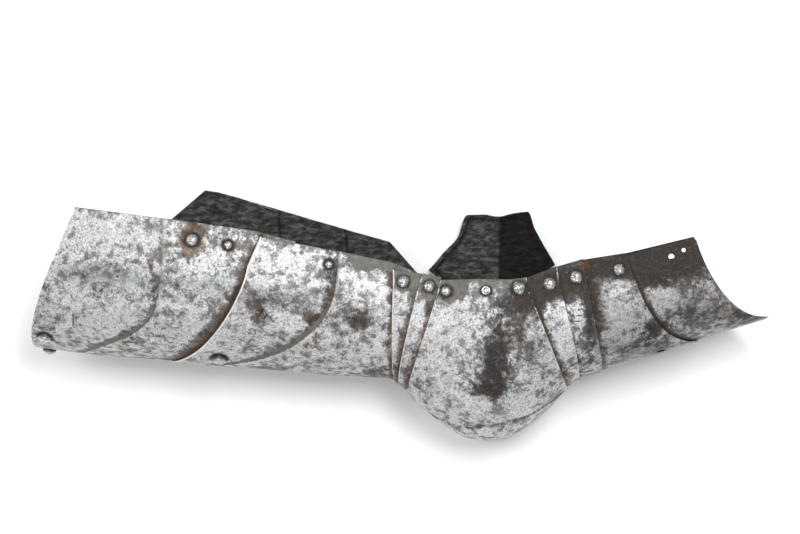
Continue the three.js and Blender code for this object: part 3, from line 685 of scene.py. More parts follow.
# Rivets: the plate each sits on, radius and height of its head, thickness it passes through, form
RIVET_COLUMNS = "node plate head dome stack form".split()
LAPPED = LAP + SHEET
JOINED = LAPPED + 0.8  # where the two thigh plates are riveted fast
INNER_PIVOTS = table(RIVET_COLUMNS, [
    ["cuisse_pivot_inner", "upper_lame_outer", 5.3, 3.6, LAPPED, "dome"],
    ["upper_outer_pivot_inner", "upper_lame_inner", 5.0, 3.6, LAPPED, "dome"],
    ["upper_inner_pivot_inner", "knee_plate", 5.4, 3.6, LAPPED, "ringed"],
    ["lower_inner_pivot_inner", "knee_plate", 5.6, 3.6, LAPPED, "hammered"],
    ["lower_outer_pivot_inner", "lower_lame_inner", 5.6, 3.6, LAPPED, "dome"],
    ["shin_pivot_inner", "lower_lame_outer", 5.6, 3.6, LAPPED, "hammered"],
    ["shin_end_pivot_inner", "shin_plate", 5.0, 2.9, LAPPED + END_DROP, "hammered"],
])
OUTER_FORM = {"head": 4.4, "dome": 2.4, "form": "dome"}
OUTER_PIVOTS = [
    {**pivot, **OUTER_FORM, "node": pivot["node"].removesuffix("inner") + "outer"}
    for pivot in INNER_PIVOTS
]
OTHER_RIVETS = table(RIVET_COLUMNS, [
    ["knee_plate_rivet", "knee_plate", 3.6, 1.1, SHEET, "flush"],
    ["cuisse_top_front_rivet_inner", "cuisse_top", 5.8, 4.4, SHEET, "dome"],
    ["cuisse_top_front_rivet_outer", "cuisse_top", 5.8, 4.4, SHEET, "dome"],
    ["cuisse_top_strap_rivet", "cuisse_top", 5.4, 3.4, SHEET, "dome"],
    ["cuisse_top_buckle_rivet", "cuisse_top", 3.6, 2.0, SHEET, "dome"],
    ["cuisse_main_strap_rivet", "cuisse_main", 3.2, 1.8, SHEET, "dome"],
    ["cuisse_join_rivet_front", "cuisse_main", 6.2, 4.8, JOINED, "dome"],
    ["cuisse_join_rivet_outer", "cuisse_main", 4.4, 2.6, JOINED, "dome"],
])
RIVETS = INNER_PIVOTS + OUTER_PIVOTS + OTHER_RIVETS
# Radius and height of each ring of a head, as shares of those of the head
HEAD_FORMS = {
    "dome": [
        (1.0, 0.0), (1.0, 0.10), (0.97, 0.26), (0.90, 0.45), (0.77, 0.66), (0.58, 0.84), (0.34, 0.96),
        (0.14, 0.99), (0.0, 1.0),
    ],
    "ringed": [
        (1.0, 0.0), (1.0, 0.14), (0.95, 0.24), (0.84, 0.22), (0.77, 0.28), (0.73, 0.5), (0.62, 0.76),
        (0.42, 0.93), (0.2, 0.99), (0.0, 1.0),
    ],
    "flush": [
        (1.0, 0.0), (1.0, 0.45), (0.92, 0.75), (0.76, 0.8), (0.68, 0.5), (0.6, 0.52), (0.5, 0.9),
        (0.28, 1.0), (0.0, 1.0),
    ],
}
HEAD_FORMS["hammered"] = HEAD_FORMS["dome"]
HEAD_SINK = 0.12  # a flat-backed head beds this far into the curved plate
RIVET_SIDES = 30
SHANK_GAP = 0.3
BURR = [(0.0, 0.0), (4.2, 0.0), (4.1, -0.7), (3.2, -1.05), (1.2, -1.1), (0.0, -1.1)]


def to_leg(point):
    """A point of the row frame in metres as a point of the leg frame in millimetres"""
    return (np.asarray(point) - SHIFT) @ LIE * 1000


def seat(rivet):
    """Place and direction of a rivet on the face of its plate"""
    low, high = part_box(rivet["node"])
    middle = to_leg((np.array(low) + np.array(high)) / 2)
    data = built[rivet["plate"]]
    away = ((data["base"] - middle) ** 2).sum(-1)
    i, j = np.unravel_index(np.argmin(away), away.shape)
    normal = data["normal"][i, j]
    face = data["base"][i, j] + normal * data["relief"][i, j]
    return middle + normal * ((face - middle) @ normal), normal


for rivet in RIVETS:
    rivet["place"], rivet["axis"] = seat(rivet)

# The raised band down the front of the knee, along the leg and across it
KEEL_FROM, KEEL_TO, KEEL_HALF = -57.0, 63.0, 33.0
KEEL_TAPER = 0.8  # how the band narrows to its ends
KEEL_STEP = 1.2  # the band stands this much over its surroundings
KEEL_BLUR = 8.0
KEEL_EDGE = (-0.6, 0.9)  # across its edge
KEEL_LINE, KEEL_LINE_WIDTH = 0.8, 1.3
KNEE_FRONT = (-30, -60)  # the depths between which the front of the knee begins
# Insets that keep the uneven face of the knee inside the box of its solid: on its front, and on its
# outer side about the place along the leg where that comes lowest
FRONT_INSET = 0.06
OUTER_INSET = 0.36
OUTER_FROM = (20, 45)
LOW_AT, LOW_REACH = -3.0, (18, 8)


def shape_knee(knee):
    """Sinks the surroundings of the band, and the insets. Returns the line along the band's edge"""
    x, y, z = np.moveaxis(knee["base"], -1, 0)
    middle, half = (KEEL_FROM + KEEL_TO) / 2, (KEEL_TO - KEEL_FROM) / 2
    inside = np.clip(1 - ((x - middle) / half) ** 2, 0, 1)
    beyond = np.abs(y) - KEEL_HALF * inside**KEEL_TAPER
    at_front = ease(*KNEE_FRONT, z)
    sunk = ease(*KEEL_EDGE, beyond) * fading(np.maximum(beyond, 0), KEEL_BLUR)
    knee["relief"] -= KEEL_STEP * sunk * at_front * ease(0, 0.25, inside)
    low_side = ease(*OUTER_FROM, y) * ease(*LOW_REACH, np.abs(x - LOW_AT))
    knee["relief"] -= FRONT_INSET * at_front + OUTER_INSET * low_side
    return fading(beyond - KEEL_LINE, KEEL_LINE_WIDTH) * at_front * ease(0, 0.2, inside)


keel_line = shape_knee(built["knee_plate"])

CREASED = ("cuisse_top", "cuisse_main")
VALLEY_WIDTH = 6.0
VALLEY_DEPTH = 0.9


def sink_valley(name, data):
    """Sinks a shallow valley along the hip side of the embossed step, deeper towards the front"""
    base, row = data["base"], data["rows"][1]
    away = nearest(base, base[row])
    hip_side = (np.arange(len(base)) <= row)[:, None] * np.ones(base.shape[:2])
    data["crease"] = (away, hip_side)
    low = ease(20, -30, base[..., 2])
    depth = 0.6 * low if name == "cuisse_top" else 0.4 + 0.6 * low
    data["relief"] -= VALLEY_DEPTH * depth * fading(away, VALLEY_WIDTH) * hip_side


for name in CREASED:
    sink_valley(name, built[name])

# Dark lines on the inner faces
LINE_WIDTH = 1.2
SEAM_WIDTH = 2.5
WING_FROM = (2, 14)  # the wing stands behind the knee from here
WING_FOLD = 3.0  # where the fold of the wing runs, along the leg
RIM_LINE = 4.5  # from the rim of the wing to the line along it
ARC_MIDDLE, ARC_RADIUS = (-30, 64, 8), 22


def shade_of(name, data):
    """Darker places on the inner face of a plate: lines along creases, seams and the wing, and the dark
    half of the wing, which is painted shade on the facet beyond its fold
    """
    base = data["base"]
    hip, foot = data["edges"][:2]
    shade = np.zeros(base.shape[:2])
    if name == "cuisse_top":
        shade += 0.8 * fading(foot, SEAM_WIDTH)
    elif name == "cuisse_main":
        shade += 0.9 * fading(data["crease"][0], LINE_WIDTH)
        shade += 0.8 * fading(hip, SEAM_WIDTH)
    elif name == "knee_plate":
        on_wing = ease(*WING_FROM, base[..., 2])
        # painted shade: the half of the wing beyond its fold, turned away from the light
        shade += 0.95 * on_wing * ease(WING_FOLD - 1, WING_FOLD + 1, base[..., 0])
        rim = nearest(base, np.concatenate([base[0], base[-1], base[:, -1]]))
        shade += on_wing * fading(rim - RIM_LINE, LINE_WIDTH)
        from_arc = np.linalg.norm(base - np.array(ARC_MIDDLE), axis=-1) - ARC_RADIUS
        shade += 0.3 * fading(from_arc, LINE_WIDTH)
    return np.clip(shade, 0, 1)


RUB_WIDTH = 1.8
REAR_WIDTH = 4.0  # of the even grey along the rear edges
FRONT_BAND = 11.0  # half width of the rubbed band down the front of the shin
BANDED = ("lower_lame_outer", "shin_plate", "shin_end_plate")
LITTLE_RUST = ("lower_lame_inner", "lower_lame_outer")
STAIN_EDGE = 1.3  # how sharply a stain ends


def add_lap_shadow_and_rust(marks, name, base):
    """Painted shadow with dirt along the edge of the plate that lies over this one, and rust, more at
    the front of the thigh
    """
    other, row = PLATES[name]["over"]
    away = nearest(base, built[other]["base"][row])
    low = ease(30, -40, base[..., 2]) if name == "cuisse_top" else 0.3
    rusty = 0.15 if other in LITTLE_RUST else 0.4 + 0.7 * low
    marks["patina"] += 0.6 * fading(away, 4.5 + 3 * low)
    marks["rust"] += rusty * fading(away, 3.5 + 6 * low)
    marks["stain_and_shade"] += 0.8 * fading(away, 1.5 + 2.2 * low)


def add_crease_shade_and_dirt(marks, name, data):
    """Painted shade with brown dirt in the valley of an embossed step, and a painted highlight along
    the ridge beside it
    """
    away, hip_side = data["crease"]
    z = data["base"][..., 2]
    low = ease(10, -50, z)
    band = fading(away, 2.0 + 3.5 * low) * hip_side
    strength = 0.6 * ease(-10, -40, z) if name == "cuisse_top" else 1.0
    marks["patina"] += 0.5 * band * strength
    marks["plain"] += 0.8 * band * low
    marks["rust"] += 0.25 * band * strength
    marks["patina"] -= 0.5 * fading(away, 2.5) * (1 - hip_side)


def add_stains(marks, base):
    x, y, z = np.moveaxis(base, -1, 0)
    for kind, stains in STAINS.items():
        for stain in stains:
            near = ((x - stain["x"]) / stain["wide"]) ** 2 + ((z - stain["z"]) / stain["high"]) ** 2
            marks[kind] += stain["amount"] * np.exp(-(near**STAIN_EDGE)) * (y < 0)


def add_rivet_shadow_and_dirt(marks, name, base):
    # a dark ring round each head on its plate: painted contact shadow, with dirt
    for rivet in RIVETS:
        if rivet["plate"] == name:
            away = np.maximum(np.linalg.norm(base - rivet["place"], axis=-1) - rivet["head"], 0)
            marks["patina"] += 1.3 * fading(away, 1.7)
            marks["stain_and_shade"] += 0.8 * fading(away, 1.9)


def painted(name, data):
    """Paint (patina, rust, inside, plain), tint (painted blue reflection, orange, shade, and the dark
    veil of patina with painted shade and painted dark reflections) and wear of a plate
    """
    base = data["base"]
    hip, foot, inner, outer = data["edges"]
    zero = np.zeros(base.shape[:2])
    marks = {kind: zero.copy() for kind in STAINS}
    if PLATES[name]["over"]:
        add_lap_shadow_and_rust(marks, name, base)
    if name in CREASED:
        add_crease_shade_and_dirt(marks, name, data)
    add_stains(marks, base)
    add_rivet_shadow_and_dirt(marks, name, base)
    if name == "knee_plate":
        marks["patina"] += 0.5 * keel_line
        marks["stain_and_shade"] += 0.4 * keel_line
    if name in BANDED:
        marks["patina"] -= 0.3 * np.exp(-((base[..., 1] / FRONT_BAND) ** 4))
    marks["plain"] += 0.35 * fading(np.minimum(inner, outer), REAR_WIDTH)
    marks["patina"] -= marks["bright"]
    for kind in ("plain", "blue_reflection", "orange", "stain_and_shade"):
        marks[kind] = np.clip(marks[kind], 0, 1)
    at_hip, at_foot = PLATES[name]["rubbed"]
    wear = np.maximum(at_hip * fading(hip, RUB_WIDTH), at_foot * fading(foot, RUB_WIDTH))
    paint = np.stack([marks["patina"], marks["rust"], zero, marks["plain"]], -1)
    tint = np.stack([marks["blue_reflection"], marks["orange"], shade_of(name, data), marks["stain_and_shade"]], -1)
    return paint, tint, wear


MARK_EDGE = (0.6, 1.1)  # a stroke fades between these shares of its half length and width
MARK_DEPTH = 10.0  # strokes reach through the whole leg, and a mask keeps them on one side


class Nodes:
    """Short ways to add shader nodes"""

    def __init__(self, name):
        self.material = bpy.data.materials.new(name)
        self.material.use_nodes = True
        self.tree = self.material.node_tree
        self.tree.nodes.clear()
        self.shader = self.tree.nodes.new("ShaderNodeBsdfPrincipled")
        output = self.tree.nodes.new("ShaderNodeOutputMaterial")
        self.tree.links.new(self.shader.outputs[0], output.inputs[0])

    def put(self, socket, value):
        if isinstance(value, bpy.types.NodeSocket):
            self.tree.links.new(value, socket)
        elif isinstance(value, tuple) and len(value) == 3 and socket.type == "RGBA":
            socket.default_value = (*value, 1.0)
        else:
            socket.default_value = value

    def look(self, name, value):
        self.put(self.shader.inputs[name], value)

    def add(self, kind, inputs, **settings):
        """A node with its inputs, in order or by name. Returns its outputs"""
        node = self.tree.nodes.new(f"ShaderNode{kind}")
        for key, value in settings.items():
            setattr(node, key, value)
        for key, value in inputs.items() if isinstance(inputs, dict) else enumerate(inputs):
            self.put(node.inputs[key], value)
        return node.outputs

    def attribute(self, name):
        return self.add("Attribute", [], attribute_name=name)

    def parts(self, kind, value):
        """The three parts of a colour or vector"""
        return list(self.add(f"Separate{kind}", [value]))

    def math(self, operation, a, b=0.5, c=0.5):
        return self.add("Math", [a, b, c], operation=operation)[0]

    def times(self, a, b):
        return self.math("MULTIPLY", a, b)

    def scaled(self, value, factor, plus):
        return self.math("MULTIPLY_ADD", value, factor, plus)

    def noise(self, vector, size, detail=4.0, roughness=0.6, distortion=0.0):
        """Noise with features of about a size in millimetres"""
        form = {"Scale": 1000.0 / size, "Detail": detail, "Roughness": roughness}
        return self.add("TexNoise", {"Vector": vector, **form, "Distortion": distortion})["Fac"]

    def stretch(self, vector, scale):
        return self.add("Mapping", {"Vector": vector, "Scale": scale})[0]

    def remap(self, value, low, high, out_low=0.0, out_high=1.0, smooth=True):
        kind = "SMOOTHSTEP" if smooth else "LINEAR"
        inputs = [value, low, high, out_low, out_high]
        return self.add("MapRange", inputs, interpolation_type=kind, clamp=True)[0]

    def ramp(self, value, stops):
        colours = self.add("ValToRGB", [value])[0]
        elements = colours.node.color_ramp.elements
        while len(elements) < len(stops):
            elements.new(0.5)
        for element, (place, colour) in zip(elements, stops):
            element.position = place
            element.color = (*colour, 1.0)
        return colours

    def mix(self, amount, a, b):
        return self.add("Mix", {0: amount, 6: a, 7: b}, data_type="RGBA")[2]

    def mark(self, vector, spot, long, wide, turn):
        """1 inside a small stroke on the inner side. spot: x and z of its middle, turn: from X to Z"""
        inputs = {
            "Vector": vector, "Location": (spot[0] / 1000, 0, spot[1] / 1000),
            "Rotation": (0, -math.radians(turn), 0), "Scale": (long / 2000, MARK_DEPTH, wide / 2000),
        }
        placed = self.add("Mapping", inputs, vector_type="TEXTURE")[0]
        length = self.add("VectorMath", [placed], operation="LENGTH")["Value"]
        return self.remap(length, *MARK_EDGE, 1.0, 0.0)

    def bump(self, height, strength, distance):
        return self.add("Bump", {"Strength": strength, "Distance": distance, "Height": height})[0]


def grey(value, warmth=0.0):
    return (value * (1 + warmth), value, value * (1 - warmth))


# Tones: place on the ramp and colour
GREY_TONES = [
    (0.0, grey(0.016, 0.14)),
    (0.2, grey(0.038, 0.12)),
    (0.42, grey(0.095, 0.01)),
    (0.62, grey(0.16, -0.01)),
    (1.0, grey(0.25, -0.01)),
]
BROWN_TONES = [
    (0.0, (0.018, 0.012, 0.008)),
    (0.2, (0.05, 0.036, 0.026)),
    (0.42, (0.11, 0.092, 0.076)),
    (0.62, (0.18, 0.16, 0.142)),
    (1.0, (0.25, 0.23, 0.21)),
]
STAIN_AND_SHADE_TONES = [
    (0.36, (0.016, 0.013, 0.012)),
    (0.52, (0.045, 0.04, 0.037)),
    (0.66, (0.12, 0.113, 0.105)),
]
BRIGHT_TONES = [(0.3, grey(0.22, 0.01)), (0.64, grey(0.58, 0.003))]
BLUE_REFLECTION_TONES = [(0.3, (0.135, 0.15, 0.165)), (0.62, (0.27, 0.293, 0.315))]
RUST_TONES = [(0.32, (0.024, 0.015, 0.009)), (0.68, (0.12, 0.08, 0.052))]
PLAIN_TONES = [(0.3, (0.092, 0.088, 0.077)), (0.7, (0.15, 0.145, 0.13))]
INSIDE_TONES = [(0.38, grey(0.017, 0.08)), (0.5, grey(0.036, 0.05)), (0.62, grey(0.09, 0.03))]
RIVET_TONES = [(0.34, grey(0.1, 0.05)), (0.47, grey(0.33, 0.02)), (0.62, grey(0.72))]
RIM_SHADE_AND_SOIL_TONES = [(0.3, (0.02, 0.014, 0.01)), (0.7, (0.085, 0.07, 0.055))]
PIT_COLOUR = grey(0.05, 0.25)
ORANGE_COLOUR = (0.33, 0.12, 0.03)
DULL_COLOUR = (0.02, 0.018, 0.015)
SHADE_VEIL_COLOUR = (0.012, 0.01, 0.008)
RUBBED_COLOUR = (0.6, 0.59, 0.565)
SCORED_COLOUR = (0.02, 0.016, 0.013)
DARK_LINE_AND_SHADE_COLOUR = grey(0.004, 0.2)

# Noises over the steel: size in millimetres, detail, roughness and distortion
NOISES = {
    "broad": (30, 2, 0.5),
    "patches": (8, 9, 0.7, 0.2),
    "grain": (2.2, 5, 0.8),
    "mid": (4.0, 4, 0.6, 0.3),
    "fine": (1.6, 3, 0.65),
    "islands": (6.5, 7, 0.62, 0.4),
    "brown_parts": (40, 3),
    "reflection_tint": (3, 4, 0.6),
    "pits": (2.2, 3, 0.6),
    "rust": (5, 5, 0.65),
    "rust_edge": (6, 6, 0.7),
    "plain_edge": (9, 8, 0.7),
    "stain_and_shade_edge": (7, 8, 0.72),
    "wear_edge": (6, 4),
}
# Painted masks with ragged edges: reach of the noise, where mask and noise begin to show and show in
# full, and where the mask alone does
RAGGED = {
    "rust": (1.6, 0.2, 0.6, 0.25),
    "plain": (2.2, 0.35, 0.55, 0.3),
    "stain_and_shade": (1.5, 0.15, 0.8, 0.2),
}
MASK_FROM = 0.02
# Along the leg in metres: the thigh gets browner from the knee up, the shin duller from the knee down
THIGH_BROWN = (-0.06, -0.11)
SHIN_DULL = (0.06, 0.1)
INNER_SIDE = (-0.004, -0.001)

# Small strokes and pits: place (x, z), length, width, turn
STROKES = [
    ((73.6, -31.1), 6.5, 1.3, 8),
    ((72.7, -35.7), 7.0, 1.2, 4),
    ((74.4, -26.0), 5.5, 1.2, 14),
    ((75.2, -21.5), 4.5, 1.1, 20),
    ((-343.7, -32.0), 12.0, 1.5, 82),
    ((-304.2, 1.8), 2.6, 2.4, 0),
    ((-318.0, -9.0), 5.0, 2.2, 30),
    ((-187.0, -27.5), 9.0, 2.6, 52),
    ((-183.5, -31.0), 7.0, 2.2, 54),
]


def paint_masks(n):
    """The masks painted on a plate, by name"""
    paint, tint = n.attribute("paint"), n.attribute("tint")
    patina, rust, inside = n.parts("Color", paint["Color"])
    blue_reflection, orange, shade = n.parts("Color", tint["Color"])
    return {
        "patina": patina, "rust": rust, "inside": inside, "plain": paint["Alpha"], "blue_reflection": blue_reflection,
        "orange": orange, "shade": shade, "stain_and_shade": tint["Alpha"], "wear": n.attribute("wear")["Fac"],
    }


def ragged(n, kind, noise, mask):
    """A painted mask with a ragged edge"""
    reach, low, high, full = RAGGED[kind]
    spread = n.math("ADD", mask[kind], n.scaled(noise[f"{kind}_edge"], reach, -reach / 2))
    return n.times(n.remap(spread, low, high), n.remap(mask[kind], MASK_FROM, full))


def worn_steel(n, x, noise, mask):
    """Bright steel in ragged patches over an even grey one: the colour, the patches, their cover"""
    cover = n.scaled(noise["broad"], 0.4, n.scaled(noise["patches"], 1.9, -1.5))
    cover = n.scaled(noise["grain"], 0.8, cover)
    cover = n.scaled(mask["patina"], -0.3, cover)
    cover = n.scaled(mask["plain"], -0.2, cover)
    frost = n.remap(cover, -0.09, 0.1, smooth=False)
    tone = n.scaled(mask["patina"], -0.5, n.scaled(noise["mid"], 0.9, 0.12))
    browner = n.times(n.remap(noise["brown_parts"], 0.35, 0.65), n.remap(x, *THIGH_BROWN))
    under = n.mix(n.times(browner, 0.55), n.ramp(tone, GREY_TONES), n.ramp(tone, BROWN_TONES))
    colour = n.mix(frost, under, n.ramp(noise["fine"], BRIGHT_TONES))
    colour = n.mix(n.remap(x, *SHIN_DULL, 0.0, 0.3), colour, DULL_COLOUR)
    return colour, frost, n.scaled(n.remap(noise["islands"], 0.52, 0.58), -0.22, cover)


def stained(n, colour, cover, noise, mask):
    """A painted blue-grey reflection band, pits, brown rust, even grey and fresh rust over the steel:
    the colour and the pits
    """
    reflection_tint = n.times(mask["blue_reflection"], n.remap(cover, 0.25, -0.1, 0.65, 1.0))
    colour = n.mix(reflection_tint, colour, n.ramp(noise["reflection_tint"], BLUE_REFLECTION_TONES))
    pitted = n.remap(n.scaled(mask["patina"], 0.05, noise["pits"]), 0.6, 0.66)
    colour = n.mix(n.times(pitted, 0.75), colour, PIT_COLOUR)
    browned = n.times(ragged(n, "rust", noise, mask), 0.85)
    colour = n.mix(browned, colour, n.ramp(noise["rust"], RUST_TONES))
    colour = n.mix(ragged(n, "plain", noise, mask), colour, n.ramp(noise["mid"], PLAIN_TONES))
    fresh = n.times(mask["orange"], n.remap(noise["mid"], 0.35, 0.5))
    return n.mix(fresh, colour, ORANGE_COLOUR), pitted


def scored_marks(n, leg, y):
    """The strokes and pits on the inner side of the leg"""
    scored = 0.0
    for stroke in STROKES:
        scored = n.math("MAXIMUM", scored, n.mark(leg, *stroke))
    return n.times(scored, n.remap(y, *INNER_SIDE, 1.0, 0.0))


def inner_face(n, leg, shade):
    """The dark brushed inside of a plate, with its dark lines and painted shade"""
    brushed = n.noise(n.stretch(leg, (0.35, 1.0, 1.0)), 3.2, 6, 0.66, 0.3)
    return n.mix(n.times(shade, 0.9), n.ramp(brushed, INSIDE_TONES), DARK_LINE_AND_SHADE_COLOUR)


def plate_material(name):
    n = Nodes(name)
    leg = n.attribute("leg")["Vector"]
    x, y = n.parts("XYZ", leg)[:2]
    mask = paint_masks(n)
    noise = {kind: n.noise(leg, *settings) for kind, settings in NOISES.items()}
    colour, frost, cover = worn_steel(n, x, noise, mask)
    colour, pitted = stained(n, colour, cover, noise, mask)
    # the dark veil of patina, painted shade and painted dark reflections lets the pattern of the steel
    # through
    shaded_and_stained = ragged(n, "stain_and_shade", noise, mask)
    stain_and_shade_colour = n.mix(0.4, n.mix(0.74, colour, SHADE_VEIL_COLOUR), n.ramp(noise["grain"], STAIN_AND_SHADE_TONES))
    colour = n.mix(n.times(shaded_and_stained, 0.97), colour, stain_and_shade_colour)
    worn = n.math("ADD", mask["wear"], n.scaled(noise["wear_edge"], 1.3, -0.65))
    rubbed = n.remap(worn, 0.52, 0.75)
    colour = n.mix(rubbed, colour, RUBBED_COLOUR)
    scored = scored_marks(n, leg, y)
    colour = n.mix(n.times(scored, 0.85), colour, SCORED_COLOUR)
    inside = mask["inside"]
    n.look("Base Color", n.mix(inside, colour, inner_face(n, leg, mask["shade"])))
    outside = n.math("SUBTRACT", 1.0, inside)
    n.look("Metallic", n.times(n.remap(frost, 0.0, 1.0, 0.4, 0.55), outside))
    shine = n.times(n.remap(n.math("SUBTRACT", frost, shaded_and_stained), 0.0, 1.0, 0.08, 0.5), outside)
    n.look("Specular IOR Level", n.math("ADD", shine, 0.05))
    roughness = n.remap(frost, 0.0, 1.0, 0.52, 0.48)
    for part, change in ((rubbed, -0.12), (mask["blue_reflection"], -0.06), (inside, 0.2)):
        roughness = n.scaled(part, change, roughness)
    n.look("Roughness", roughness)
    height = n.scaled(noise["fine"], 0.5, n.times(frost, 0.5))
    for part, change in ((pitted, -0.6), (scored, -0.9)):
        height = n.scaled(part, change, height)
    n.look("Normal", n.bump(height, 0.4, 0.0005))
    return n.material


def rivet_material(name):
    """Polished heads, darker towards the plate: painted shade and dark reflection at the rim, with dirt
    """
    n = Nodes(name)
    leg = n.attribute("leg")["Vector"]
    crown = n.attribute("crown")["Fac"]
    mid = n.noise(leg, 3.0, 4, 0.6)
    tone = n.scaled(mid, 0.6, n.times(n.noise(leg, 1.0, 3, 0.6), 0.4))
    # darkens the head towards the plate: painted shade and dark reflection at its rim, with some dirt
    rim_shade_and_soil = n.remap(n.scaled(mid, 0.5, n.math("SUBTRACT", crown, 0.25)), 0.25, 0.9, 1.0, 0.0)
    n.look("Base Color", n.mix(rim_shade_and_soil, n.ramp(tone, RIVET_TONES), n.ramp(mid, RIM_SHADE_AND_SOIL_TONES)))
    n.look("Metallic", n.remap(rim_shade_and_soil, 0.0, 1.0, 0.9, 0.3))
    n.look("Specular IOR Level", n.remap(rim_shade_and_soil, 0.0, 1.0, 0.5, 0.08))
    n.look("Roughness", n.remap(tone, 0.35, 0.6, 0.4, 0.2))
    n.look("Normal", n.bump(tone, 0.3, 0.0004))
    return n.material


PLATE_STEEL = plate_material("plate_steel")
RIVET_STEEL = rivet_material("rivet_steel")
ACROSS_FROM = (0.3, 0.5, 0.81)  # a direction that no rivet or hole points in
LUMP_WIDE, LUMP_HIGH = 0.04, 0.05


def lathe(profile, place, axis, uneven, seed):
    """Points and faces of a closed round body: profile gives radius and height, from pole to pole"""
    across = unit(np.cross(axis, ACROSS_FROM))
    beside = np.cross(axis, across)
    rng = np.random.default_rng(seed)
    lumps = rng.uniform(-1, 1, (3, 2))
    points = []
    for radius, height in profile:
        if radius == 0:
            points.append(place + axis * height)
            continue
        for k in range(RIVET_SIDES):
            angle = 2 * math.pi * k / RIVET_SIDES
            wave = sum(a * math.cos((m + 2) * angle + 3 * b) for m, (a, b) in enumerate(lumps))
            r = radius * (1 + uneven * LUMP_WIDE * wave)
            h = height * (1 + uneven * LUMP_HIGH * wave)
            points.append(place + (across * math.cos(angle) + beside * math.sin(angle)) * r + axis * h)
    faces = []
    start = 0
    for i in range(len(profile) - 1):
        first_pole, last_pole = profile[i][0] == 0, profile[i + 1][0] == 0
        size = 1 if first_pole else RIVET_SIDES
        for k in range(RIVET_SIDES):
            after = (k + 1) % RIVET_SIDES
            if first_pole:
                faces.append((start, start + 1 + after, start + 1 + k))
            elif last_pole:
                faces.append((start + k, start + after, start + size))
            else:
                faces.append((start + k, start + after, start + size + after, start + size + k))
        start += size
    return np.array(points), faces


# Empty holes: plate, place in the leg frame near the inner face, radius
HOLES = [
    ("shin_end_plate", (149.0, -56.8, 17.1), 2.5),
    ("shin_end_plate", (159.0, -56.6, 22.5), 1.8),
    ("shin_plate", (140.3, -13.8, -57.1), 3.2),
    ("shin_end_plate", (140.3, -13.8, -57.1), 2.2),
]
DRILL_FROM, DRILL_TO = 6.0, -8.0
DRILL_UNEVEN, DRILL_SEED = 0.4, 7


def drill(plate, spot, radius):
    """A round body that goes through a plate at a spot"""
    base = built[plate]["base"]
    away = ((base - np.array(spot)) ** 2).sum(-1)
    i, j = np.unravel_index(np.argmin(away), away.shape)
    axis = built[plate]["normal"][i, j]
    middle = np.array(spot) - axis * ((np.array(spot) - base[i, j]) @ axis)
    profile = [(0.0, DRILL_FROM), (radius, DRILL_FROM), (radius, DRILL_TO), (0.0, DRILL_TO)]
    points, faces = lathe(profile, middle, axis, DRILL_UNEVEN, DRILL_SEED)
    return mesh_object("cutter", points, [tuple(reversed(face)) for face in faces])


def cut_holes(obj, name):
    """Takes the empty holes out of a plate"""
    cutters = [drill(*hole) for hole in HOLES if hole[0] == name]
    for cutter in cutters:
        modifier = obj.modifiers.new("hole", "BOOLEAN")
        modifier.operation = "DIFFERENCE"
        modifier.solver = "EXACT"
        modifier.object = cutter
    if cutters:
        bpy.context.view_layer.update()
        whole = obj.evaluated_get(bpy.context.evaluated_depsgraph_get())
        cut = bpy.data.meshes.new_from_object(whole)
        obj.modifiers.clear()
        obj.data = cut
        for cutter in cutters:
            bpy.data.objects.remove(cutter)


def dress(obj, node, material):
    """Gives a fine piece its material and the place of its solid"""
    obj.data.materials.append(material)
    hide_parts(node)
    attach(obj, BODY_OF[node])


def covered_row(name):
    """The row of a plate that lies under its neighbour. -1 for the knee plate, which lies on top"""
    over = PLATES[name]["over"]
    if not over:
        return -1
    return len(built[name]["base"]) - 1 if over[1] == HIP else 0


for name, data in built.items():
    obj = thick_plate(f"fine_{name}", data, *painted(name, data), covered_row(name))
    cut_holes(obj, name)
    dress(obj, name, PLATE_STEEL)

HAMMERED_UNEVEN, PLAIN_UNEVEN, BURR_UNEVEN = 1.6, 0.6, 1.0
BURR_SEED = 50  # seeds of the burrs start here
BLOW_DEPTH, BLOW_LENGTH, BLOW_FROM = 0.16, 4.0, 0.3


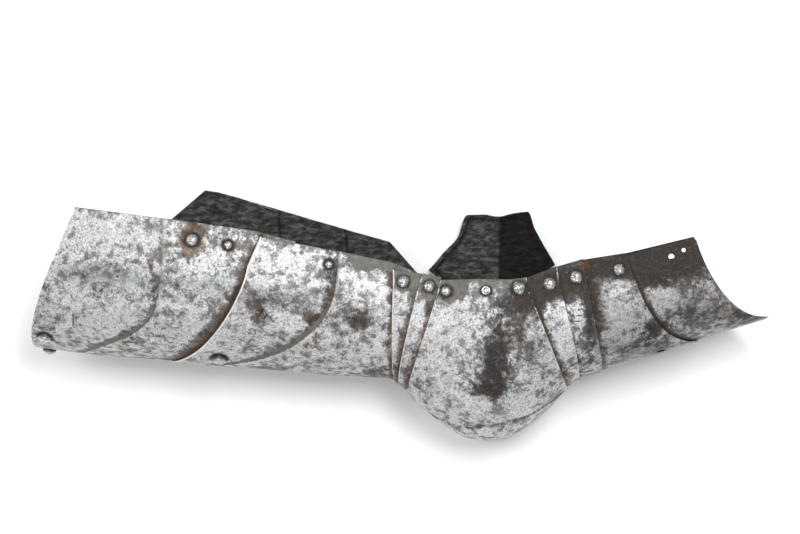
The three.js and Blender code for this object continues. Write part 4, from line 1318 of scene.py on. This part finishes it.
def fine_rivet(number, rivet):
    """A rivet's head on the outside and its burr on the inside of the plates that it joins"""
    place, axis, hammered_head = rivet["place"], rivet["axis"], rivet["form"] == "hammered"
    head = [(0.0, 0.0)]
    head += [(r * rivet["head"], h * (rivet["dome"] + SHANK_GAP)) for r, h in HEAD_FORMS[rivet["form"]]]
    head = [(r, h - HEAD_SINK) for r, h in head]
    points, faces = lathe(head, place, axis, HAMMERED_UNEVEN if hammered_head else PLAIN_UNEVEN, number)
    burr_place = place - axis * (rivet["stack"] + SHANK_GAP)
    more, more_faces = lathe(BURR, burr_place, axis, BURR_UNEVEN, number + BURR_SEED)
    faces += [tuple(len(points) + v for v in reversed(face)) for face in more_faces]
    crown = np.concatenate([(points - place) @ axis / rivet["dome"], np.zeros(len(more))])
    points = np.concatenate([points, more])
    if hammered_head:
        blow = BLOW_DEPTH * swell(points, BLOW_LENGTH, number)
        points = points + axis * (blow * (crown > BLOW_FROM))[:, None]
    obj = mesh_object(f"fine_{rivet['node']}", points, faces)
    obj.data.polygons.foreach_set("use_smooth", [True] * len(faces))
    add_attribute(obj, "crown", "FLOAT", crown)
    add_attribute(obj, "leg", "FLOAT_VECTOR", points / 1000)
    return obj


for number, rivet in enumerate(RIVETS):
    dress(fine_rivet(number, rivet), rivet["node"], RIVET_STEEL)

# The studio
FLOOR_SIZE = 8.0
FLOOR_COLOUR = grey(0.92)
WORLD_COLOUR = (0.97, 0.98, 1.0, 1)
WORLD_STRENGTH = 0.62
AIM = Vector(lay(VIEW_CENTRE))
LIGHTS = table("name right up distance wide high power".split(), [
    ["key_light", 10, 18, 2.4, 1.2, 0.6, 42],
    ["low_light", -10, -38, 2.4, 1.5, 0.6, 10],
    ["left_light", -50, 12, 2.4, 0.8, 1.2, 13],
])


def add_floor():
    half = FLOOR_SIZE / 2
    mesh = bpy.data.meshes.new("floor")
    corners = [(-half, -half, 0), (half, -half, 0), (half, half, 0), (-half, half, 0)]
    mesh.from_pydata(corners, [], [(0, 1, 2, 3)])
    n = Nodes("floor_paper")
    n.look("Base Color", FLOOR_COLOUR)
    n.look("Roughness", 0.9)
    n.look("Specular IOR Level", 0.2)
    mesh.materials.append(n.material)
    add_object("floor", mesh)


def add_panel(name, right, up, distance, wide, high, power):
    """A soft light over the armour. right and up: degrees away from the camera's line of sight"""
    right, up = math.radians(right), math.radians(up)
    way = math.sin(right) * CAM_RIGHT + math.sin(up) * CAM_UP
    way = Vector(way + math.cos(right) * math.cos(up) * CAM_BACK).normalized()
    data = bpy.data.lights.new(name, "AREA")
    data.shape = "RECTANGLE"
    data.size = wide
    data.size_y = high
    data.energy = power
    light = add_object(name, data)
    light.location = AIM + way * distance
    light.rotation_euler = way.to_track_quat("Z", "Y").to_euler()


def add_world():
    world = bpy.data.worlds.new("studio")
    bpy.context.scene.world = world
    world.use_nodes = True
    background = world.node_tree.nodes["Background"]
    background.inputs[0].default_value = WORLD_COLOUR
    background.inputs[1].default_value = WORLD_STRENGTH


add_floor()
for light in LIGHTS:
    add_panel(**light)
add_world()
bpy.context.scene.view_settings.view_transform = "Standard"
